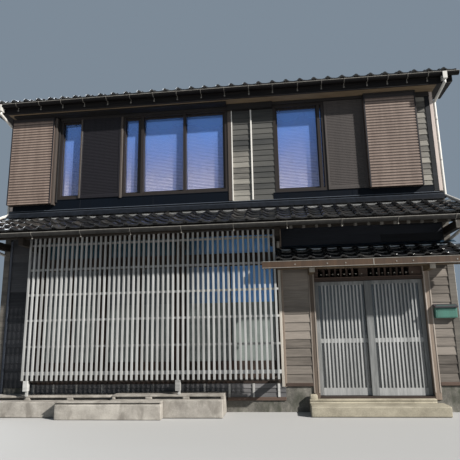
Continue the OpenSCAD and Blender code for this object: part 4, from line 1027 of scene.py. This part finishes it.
def band_pipes():
    """Bands that hold the downpipes to the side walls"""
    bands = Piece("pipe_bands")
    pipes = ((0.0, (5.2, 4.4)), (0.06, (2.3, 1.3, 0.35)), (DEPTH - 0.06, (5.0, 3.9, 2.6, 1.3, 0.35)))
    for side in (-1, 1):
        x = side * (HALF + 0.03)
        x0, x1 = sorted((x, side * HALF))
        for y, heights in pipes:
            for z in heights:
                bands.rod((x, y, z), (x, y, z + 0.025), 0.0305, 20)
                bands.box((x0, y - 0.006, z + 0.004), (x1, y + 0.006, z + 0.021), 0.001)
    bands.finish("light_metal", "white_pipe")


# Lattice bay

def build_lattice():
    """Upright bars, each a little out of true, six rails behind them, the lowest one deeper, and two feet"""
    rail_pitch, rail_half, low_rail_half = 0.462, 0.019, 0.030
    bars = Piece("lattice_bars")
    length = LATTICE_Z1 - LATTICE_Z0
    shape = box_shape((BAR_W, BAR_D, length), 0.003)
    for i in range(BARS):
        x = LATTICE_X0 + 0.020 + i * BAR_PITCH
        lean = Matrix.Rotation(random.uniform(-0.0006, 0.0006), 4, "Y")
        middle = (x + random.uniform(-0.001, 0.001), LATTICE_Y + BAR_D / 2, LATTICE_Z0 + length / 2)
        bars.add(shape, Matrix.Translation(middle) @ lean)
    bars.finish("lattice_wood", "lattice_wood", replaces=["lattice"])

    rails = Piece("lattice_rails")
    front = LATTICE_Y + BAR_D
    for i in range(6):
        z = 0.712 + rail_pitch * i
        half = rail_half if i else low_rail_half
        rails.box((LATTICE_X0, front, z - half), (LATTICE_X1 + 0.028, front + 0.026, z + half), 0.002)
    rails.finish("rail_wood", "lattice_wood")

    feet = Piece("lattice_feet")
    for x0, x1, stone_top in ((-0.680, -0.590, 0.350), (-3.430, -3.340, 0.323)):
        feet.box((x0, -0.428, 0.410), (x1, -0.352, 0.588), 0.005)
        feet.box((x1 - 0.045, -0.412, stone_top), (x1 - 0.006, -0.368, 0.412))
    feet.finish("rail_wood", "post_wood")


# Entrance

def build_leaf(name, body, x0, y0, left_stile, right_stile):
    """Sliding leaf: two stiles, three rails, bars in front of the glass, and two rollers"""
    thick, z0, z1 = 0.034, 0.256, 2.231
    top, low, middle, middle_half = 0.066, 0.125, 0.925, 0.0375
    bars, roller_r, roller_z = 12, 0.020, 0.2703
    x1, back = x0 + LEAF_W, y0 + thick
    a, b = x0 + left_stile + 0.0005, x1 - right_stile - 0.0005
    leaf = Piece(name)
    leaf.box((x0, y0, z0), (x0 + left_stile, back, z1), tone=0.10)
    leaf.box((x1 - right_stile, y0, z0), (x1, back, z1), tone=0.15)
    leaf.box((a, y0 + 0.001, z1 - top), (b, back, z1), 0.002, tone=0.25)
    leaf.box((a, y0 + 0.001, z0), (b, back, z0 + low), 0.002, tone=0.60)
    leaf.box((a, y0 + 0.004, z0 + middle - middle_half), (b, back - 0.012, z0 + middle + middle_half), 0.002,
             tone=0.40)
    pitch = (b - a) / (bars + 1)
    bar_z0, bar_z1 = z0 + low - 0.004, z1 - top + 0.004
    for i in range(1, bars + 1):
        x = a + i * pitch
        leaf.box((x - 0.015, y0 + 0.001, bar_z0), (x + 0.015, y0 + 0.016, bar_z1), 0.0025,
                 tone=random.uniform(0.45, 0.80))
    for x in (x0 + 0.15, x1 - 0.15):
        leaf.rod((x, y0 + 0.012, roller_z), (x, y0 + 0.022, roller_z), roller_r, 24, tone=0.2)
    leaf.finish("door_wood", "door_wood", body=body, replaces=[name])


def hang_leaves():
    """The right leaf runs in front of the left one; each has its wide stile where they meet"""
    right_y, gap, narrow, wide = 0.055, 0.006, 0.070, 0.120
    build_leaf("left_door", "left_leaf", DOOR_X0 + gap, right_y + 0.044, narrow, wide)
    build_leaf("right_door", "right_leaf", DOOR_X1 - gap - LEAF_W, right_y, wide, narrow)


def set_door_posts():
    posts = Piece("door_posts")
    for x in (POST_X0, DOOR_X1):
        posts.box((x, -0.020, 0.190), (x + POST_W, 0.150, 2.547), 0.012, segments=2)
    posts.finish("post_wood", "post_wood", replaces=["door_frame"])
    # Painted highlight: lighter fillets along the posts' front edges
    fillets = Piece("post_fillets")
    for x in (POST_X0, DOOR_X1):
        for a in (x + 0.002, x + POST_W - 0.024):
            fillets.box((a, -0.027, 0.310), (a + 0.022, -0.015, 2.455), 0.004)
    fillets.finish("post_edge_highlight", "post_wood")


def build_fretwork():
    """Lintel and head beam with a fretted light between them: plates, and slips and pegs between these"""
    lintel_z, lintel_top, head_z, head_top = 2.237, 2.297, 2.457, 2.547
    middle, half, step = DOOR_X0 + 0.880, 0.080, 0.103
    reach = half + 7 * step
    beams = Piece("door_beams")
    beams.box((DOOR_X0, -0.010, lintel_z), (DOOR_X1, 0.150, lintel_top), 0.004)
    beams.box((DOOR_X0, -0.018, 2.286), (DOOR_X1, 0.020, 2.300))
    beams.box((DOOR_X0, -0.010, head_z), (DOOR_X1, 0.150, head_top), 0.004)
    z0, z1 = lintel_top - 0.004, head_z + 0.004
    for a, b in ((DOOR_X0, middle - reach), (middle - half, middle + half), (middle + reach, DOOR_X1)):
        beams.box((a, 0.020, z0), (b, 0.110, z1))
    for i in range(1, 7):
        for side in (-1, 1):
            x = middle + side * (half + i * step)
            beams.box((x - 0.018, 0.045, z0), (x + 0.018, 0.070, z1), 0.002)
    pegs = Piece("fretwork_pegs")
    for i in range(8):
        for side in (-1, 1):
            x = middle + side * (half + i * step)
            pegs.box((x + 0.040, 0.010, 2.346), (x + 0.064, 0.020, 2.364))
    pegs.finish("trim_wood", "post_wood")
    beams.finish("beam_wood", "post_wood")


def cap_roof_timbers():
    """Lighter caps on the ends of the porch roof's arms, one pent roof arm and the rafters over the entrance
    """
    ends = Piece("arm_end_caps")
    for x in (POST_X0 + POST_W / 2, DOOR_X1 + POST_W / 2):
        ends.box((x - 0.046, -0.446, 2.361), (x + 0.046, -0.436, 2.512), 0.002)
    ends.box((4.109, -0.676, 2.996), (4.201, -0.666, 3.128))
    ends.finish("trim_wood", "roof_timber")
    tips = Piece("rafter_tips")
    rafters, first, pitch = 13, 1.394, 0.2115
    for i in range(rafters):
        x = first + pitch * i
        tips.box((x - 0.024, -0.895, 3.060), (x + 0.024, -0.845, 3.118))
    tips.finish("rafter_tips", "roof_timber")


# Stones

def rough_block(piece, low, high, edge, amount, cuts):
    """Stone block with worn edges and an uneven face, flat where it stands on the ground"""
    bm = bmesh.new()
    bmesh.ops.create_cube(bm, size=1.0)
    low, high = Vector(low), Vector(high)
    bmesh.ops.scale(bm, vec=high - low - Vector((2, 2, 1)) * amount, verts=bm.verts)
    round_edges(bm, bm.edges[:], edge, 2)
    long_edges = [e for e in bm.edges if e.calc_length() > 0.1]
    bmesh.ops.subdivide_edges(bm, edges=long_edges, cuts=cuts, use_grid_fill=True)
    bmesh.ops.translate(bm, vec=(low + high) / 2, verts=bm.verts)
    for v in bm.verts:
        if v.co.z > 0.004:
            coarse, fine = noise.noise_vector(v.co * 9), noise.noise_vector(v.co * 31)
            v.co += coarse * amount * 0.7 + fine * amount * 0.3
    piece.add_once(as_mesh(bm))


def lay_steps():
    """Two entrance steps and the rough stone at the foot of the left post"""
    steps = Piece("steps")
    rough_block(steps, (1.59, -0.130, 0.0), (3.68, -0.001, 0.189), 0.010, 0.003, 20)
    rough_block(steps, (1.59, -0.130, 0.19), (3.68, -0.021, 0.225), 0.008, 0.002, 20)
    rough_block(steps, (1.592, -0.128, 0.20), (1.74, -0.021, 0.308), 0.02, 0.008, 8)
    rough_block(steps, (1.59, -0.49, 0.0), (3.79, -0.120, 0.166), 0.016, 0.003, 22)
    steps.finish("step_stone", "step_stone", replaces=["entrance_steps"], smooth=50)


def ledge(piece, x0, x1, depth, tread, height):
    """Ledge stone: a low tread in front of a raised strip that has three slots along its foot"""
    low, front, back = height - 0.066, tread - depth, -0.040
    rough_block(piece, (x0, -depth, 0), (x1, front + 0.002, low), 0.012, 0.005, 20)
    rough_block(piece, (x0 + 0.004, front + 0.070, 0), (x1 - 0.004, back, height - 0.006), 0.006, 0.003, 10)
    rough_block(piece, (x0, front, low + 0.026), (x1, back - 0.002, height), 0.008, 0.004, 20)
    pitch = (x1 - x0) / 3
    for i in range(4):
        a, b = x0 + i * pitch - (0.06 if i else 0), x0 + i * pitch + (0.06 if i < 3 else 0)
        rough_block(piece, (a, front + 0.002, low - 0.02), (b, front + 0.10, low + 0.034), 0.004, 0.003, 3)


def lay_ledges():
    """Both ledge stones in front of the bay, and the foot block before them"""
    ledges = Piece("ledges")
    ledge(ledges, -4.190, -1.792, 0.570, 0.235, 0.327)
    ledge(ledges, -1.786, 0.160, 0.590, 0.150, 0.354)
    x0, x1, y0, y1 = -2.668, -0.838, -0.750, -0.592
    rough_block(ledges, (x0, y0, 0), (x1, y1, 0.245), 0.010, 0.004, 20)
    rough_block(ledges, (x0 + 0.004, y0 + 0.026, 0.20), (x1 - 0.004, y1, 0.272), 0.004, 0.002, 10)
    rough_block(ledges, (x0, y0, 0.266), (x1, y1, 0.285), 0.005, 0.002, 20)
    ledges.finish("ledge_stone", "ledge_stone", replaces=["ledge_stones"], smooth=50)


# Letterbox

def hang_letterbox():
    """Body with a slot plate, a front panel and a block that carries the sloping roof"""
    x0, x1 = DOOR_X1 + POST_W + 0.010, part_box("letterbox")[1].x - 0.015
    z0, z1, depth = 1.540, 1.715, 0.110
    body = Piece("letterbox_body")
    body.box((x0, -depth, z0), (x1, ON_WALL, z1), 0.010, segments=3)
    body.box((x0 + 0.03, -depth - 0.004, z1 - 0.055), (x1 - 0.03, -depth + 0.01, z1 - 0.015))
    body.box((x0 + 0.02, -depth - 0.003, z0 + 0.015), (x1 - 0.02, -depth + 0.01, z1 - 0.066), 0.004)
    body.box((x0 + 0.02, -depth + 0.002, z1 - 0.01), (x1 - 0.02, ON_WALL, z1 + 0.042), 0.002)
    body.finish("letterbox_metal", "letterbox_metal", replaces=["letterbox"])
    roof = Piece("letterbox_roof")
    reach, fall = depth + 0.04, 0.055
    shape = box_shape((x1 - x0 + 0.024, math.hypot(reach, fall) - 0.012, 0.026), 0.006, 2)
    middle = ((x0 + x1) / 2 + 0.003, -reach / 2 - 0.002, z1 + 0.032)
    roof.add(shape, Matrix.Translation(middle) @ Matrix.Rotation(math.atan2(fall, reach), 4, "X"))
    roof.finish("letterbox_roof", "letterbox_metal")


# Upper windows

def blind_slats(piece, x0, x1, z0, z1, y):
    """Nearly closed slats under a head rail"""
    pitch, width, thick, closed = 0.030, 0.031, 0.0016, 58
    shape = box_shape((x1 - x0, width, thick), 0.0004)
    tilt = Matrix.Rotation(math.radians(closed), 4, "X")
    for i in range(int((z1 - z0) / pitch)):
        place = Matrix.Translation(((x0 + x1) / 2, y, z0 + (i + 0.5) * pitch)) @ tilt
        piece.add(shape, place, tone=random.uniform(0.4, 0.7))
    piece.box((x0, y - 0.014, z1 - 0.035), (x1, y + 0.014, z1), tone=0.6)


def fit_sashes():
    """Blinds and sashes behind each pane: x from, x to, sill, and the widths of the left and right stile"""
    panes = ((-1.825, -1.4925, WIDE_SILL, 0.014, 0.080), (-1.4375, -0.6325, WIDE_SILL, 0.009, 0.006),
             (-0.5775, 0.205, WIDE_SILL, 0.006, 0.046), (-3.145, -2.760, WIDE_SILL, 0.012, 0.020),
             (1.215, 2.0095, RIGHT_SILL, 0.026, 0.016), (2.0645, 2.095, RIGHT_SILL, 0.003, 0.003))
    y0, y1 = 0.030, 0.052
    blinds = Piece("blinds")
    sashes = Piece("window_sashes")
    for x0, x1, sill, left, right in panes:
        blind_slats(blinds, x0 + 0.008, x1 - 0.008, sill + 0.06, WINDOW_TOP - 0.058, 0.118)
        low, high = sill + 0.092, WINDOW_TOP - 0.088
        for a, b, z0, z1 in ((x0, x1, sill + 0.055, low), (x0, x1, high, WINDOW_TOP - 0.055),
                             (x0, x0 + left, low, high), (x1 - right, x1, low, high)):
            sashes.box((a, y0, z0), (b, y1, z1), 0.002)
    blinds.finish("blind_slats", "blind_slats", replaces=["window_blinds"])
    sashes.finish("bronze_metal", "bronze_metal")


def ribbed_panel(piece, x0, x1, z0, z1, y, ribs):
    """Sheet with fine level ribs, made from one outline and drawn along X"""
    pitch, depth = (z1 - z0) / ribs, 0.005
    points = [(x0, y, z0)]
    for i in range(ribs):
        for share, out in ((0.30, 0), (0.42, depth), (0.88, depth), (1, 0)):
            points.append((x0, y + out, z0 + (i + share) * pitch))
    bm = bmesh.new()
    made = bmesh.ops.extrude_edge_only(bm, edges=joined_line(bm, points))["geom"]
    bmesh.ops.translate(bm, vec=(x1 - x0, 0, 0), verts=new_verts(made))
    piece.add_once(thick_sheet(bm, 0.012), tone=0.5)


def hang_storm_shutters():
    """Ribbed shutters beside the wide and the right window, each in a frame on a plain foot"""
    ribs, stile, rail, back = 52, 0.032, 0.034, -0.012
    for name, material, x0, x1, sill in (("left_storm_shutter", "dark_shutter", -2.738, -1.914, WIDE_SILL),
                                         ("right_storm_shutter", "brown_shutter", 2.152, 2.888, RIGHT_SILL)):
        panel = Piece(name)
        z0, z1 = sill + 0.03, WINDOW_TOP
        ribbed_panel(panel, x0 + 0.03, x1 - 0.03, z0 + 0.03, z1 - 0.03, -0.042, ribs)
        a, b = x0 + stile, x1 - stile
        for low, high in (((x0, -0.047, z0), (a, back, z1)), ((b, -0.047, z0), (x1, back, z1)),
                          ((a, -0.046, z0), (b, back, z0 + rail)), ((a, -0.046, z1 - rail), (b, back, z1))):
            panel.box(low, high, 0.002, tone=0.5)
        panel.box((x0, -0.047, z0 - 0.03), (x1, ON_WALL, z0 - 0.001), 0.002, tone=0.4)
        panel.finish(material, "dark_shutter", replaces=["storm_shutters"] if sill == WIDE_SILL else ())
    sticks("shutter_stile", "post_metal", "dark_shutter",
           ((-2.758, -0.052, 4.02), (-2.722, -0.030, WINDOW_TOP)))


# Floor

def lay_floor():
    bm = bmesh.new()
    bmesh.ops.create_grid(bm, x_segments=1, y_segments=1, size=60)
    mesh = as_mesh(bm)
    mesh.materials.append(Surface("floor", roughness=0.9).done((0.36, 0.358, 0.352)))
    ground = bpy.data.objects.new("ground", mesh)
    bpy.context.scene.collection.objects.link(ground)
    ground.location.z = -0.002


# The CAD nodes that show, by finish
CAD_NODES = {
    "base_stone": ["foundation"],
    "floor_slab": ["ground_floor"],
    "floor_boards": ["upper_floor"],
    "wall_boards": ["left_wall", "right_wall", "back_wall"],
    "front_boards": ["upper_front_wall"],
    "entrance_boards": ["door_left_wall", "door_right_wall"],
    "bay_boards": ["front_corner_wall", "bay_panel", "over_door_wall"],
    "dark_timber": ["bay_frame", "bay_sashes"],
    "roof_timber": ["roof_deck", "porch_roof_frame"],
    "rafter_wood": ["lower_roof_beams", "lower_roof_deck"],
    "eave_timber": ["eave_boards", "gable_boards"],
    "ledger_wood": ["lattice_brackets"],
    "beam_wood": ["door_sill"],
    "bronze_metal": ["upper_window_frames", "back_window_frames"],
    "shutter_metal": ["shutter_boxes"],
    "gutter_metal": ["upper_gutters"],
    "gutter_grey": ["lower_gutter"],
    "gutter_brown": ["porch_gutter"],
    "cover_metal": ["lower_roof_flashing"],
    "white_pipe": ["downpipes"],
    "window_glass": ["upper_glass", "back_glass"],
    "frosted_glass": ["bay_glass"],
    "door_glass": ["left_door_glass", "right_door_glass"],
}

aim_camera()
set_light()

make_board_finishes()
make_stick_finishes()
make_metal_finishes()
make_stone_finishes()
make_glass_finishes()
for finish, nodes in CAD_NODES.items():
    for node in nodes:
        dress(node, finish)

board_upper_front()
cover_dado()
fix_head_boards()
board_ground_front()
board_sides()
board_back()
set_corner_posts()
trim_upper_front()
trim_ground_front()

tile_roofs()
fill_with_plaster()
flash_porch()
build_ridge()

strap_upper_gutters()
strap_lower_gutter()
edge_porch_gutter()
band_pipes()

build_lattice()
hang_leaves()
set_door_posts()
build_fretwork()
cap_roof_timbers()
lay_steps()
lay_ledges()
hang_letterbox()
fit_sashes()
hang_storm_shutters()
lay_floor()
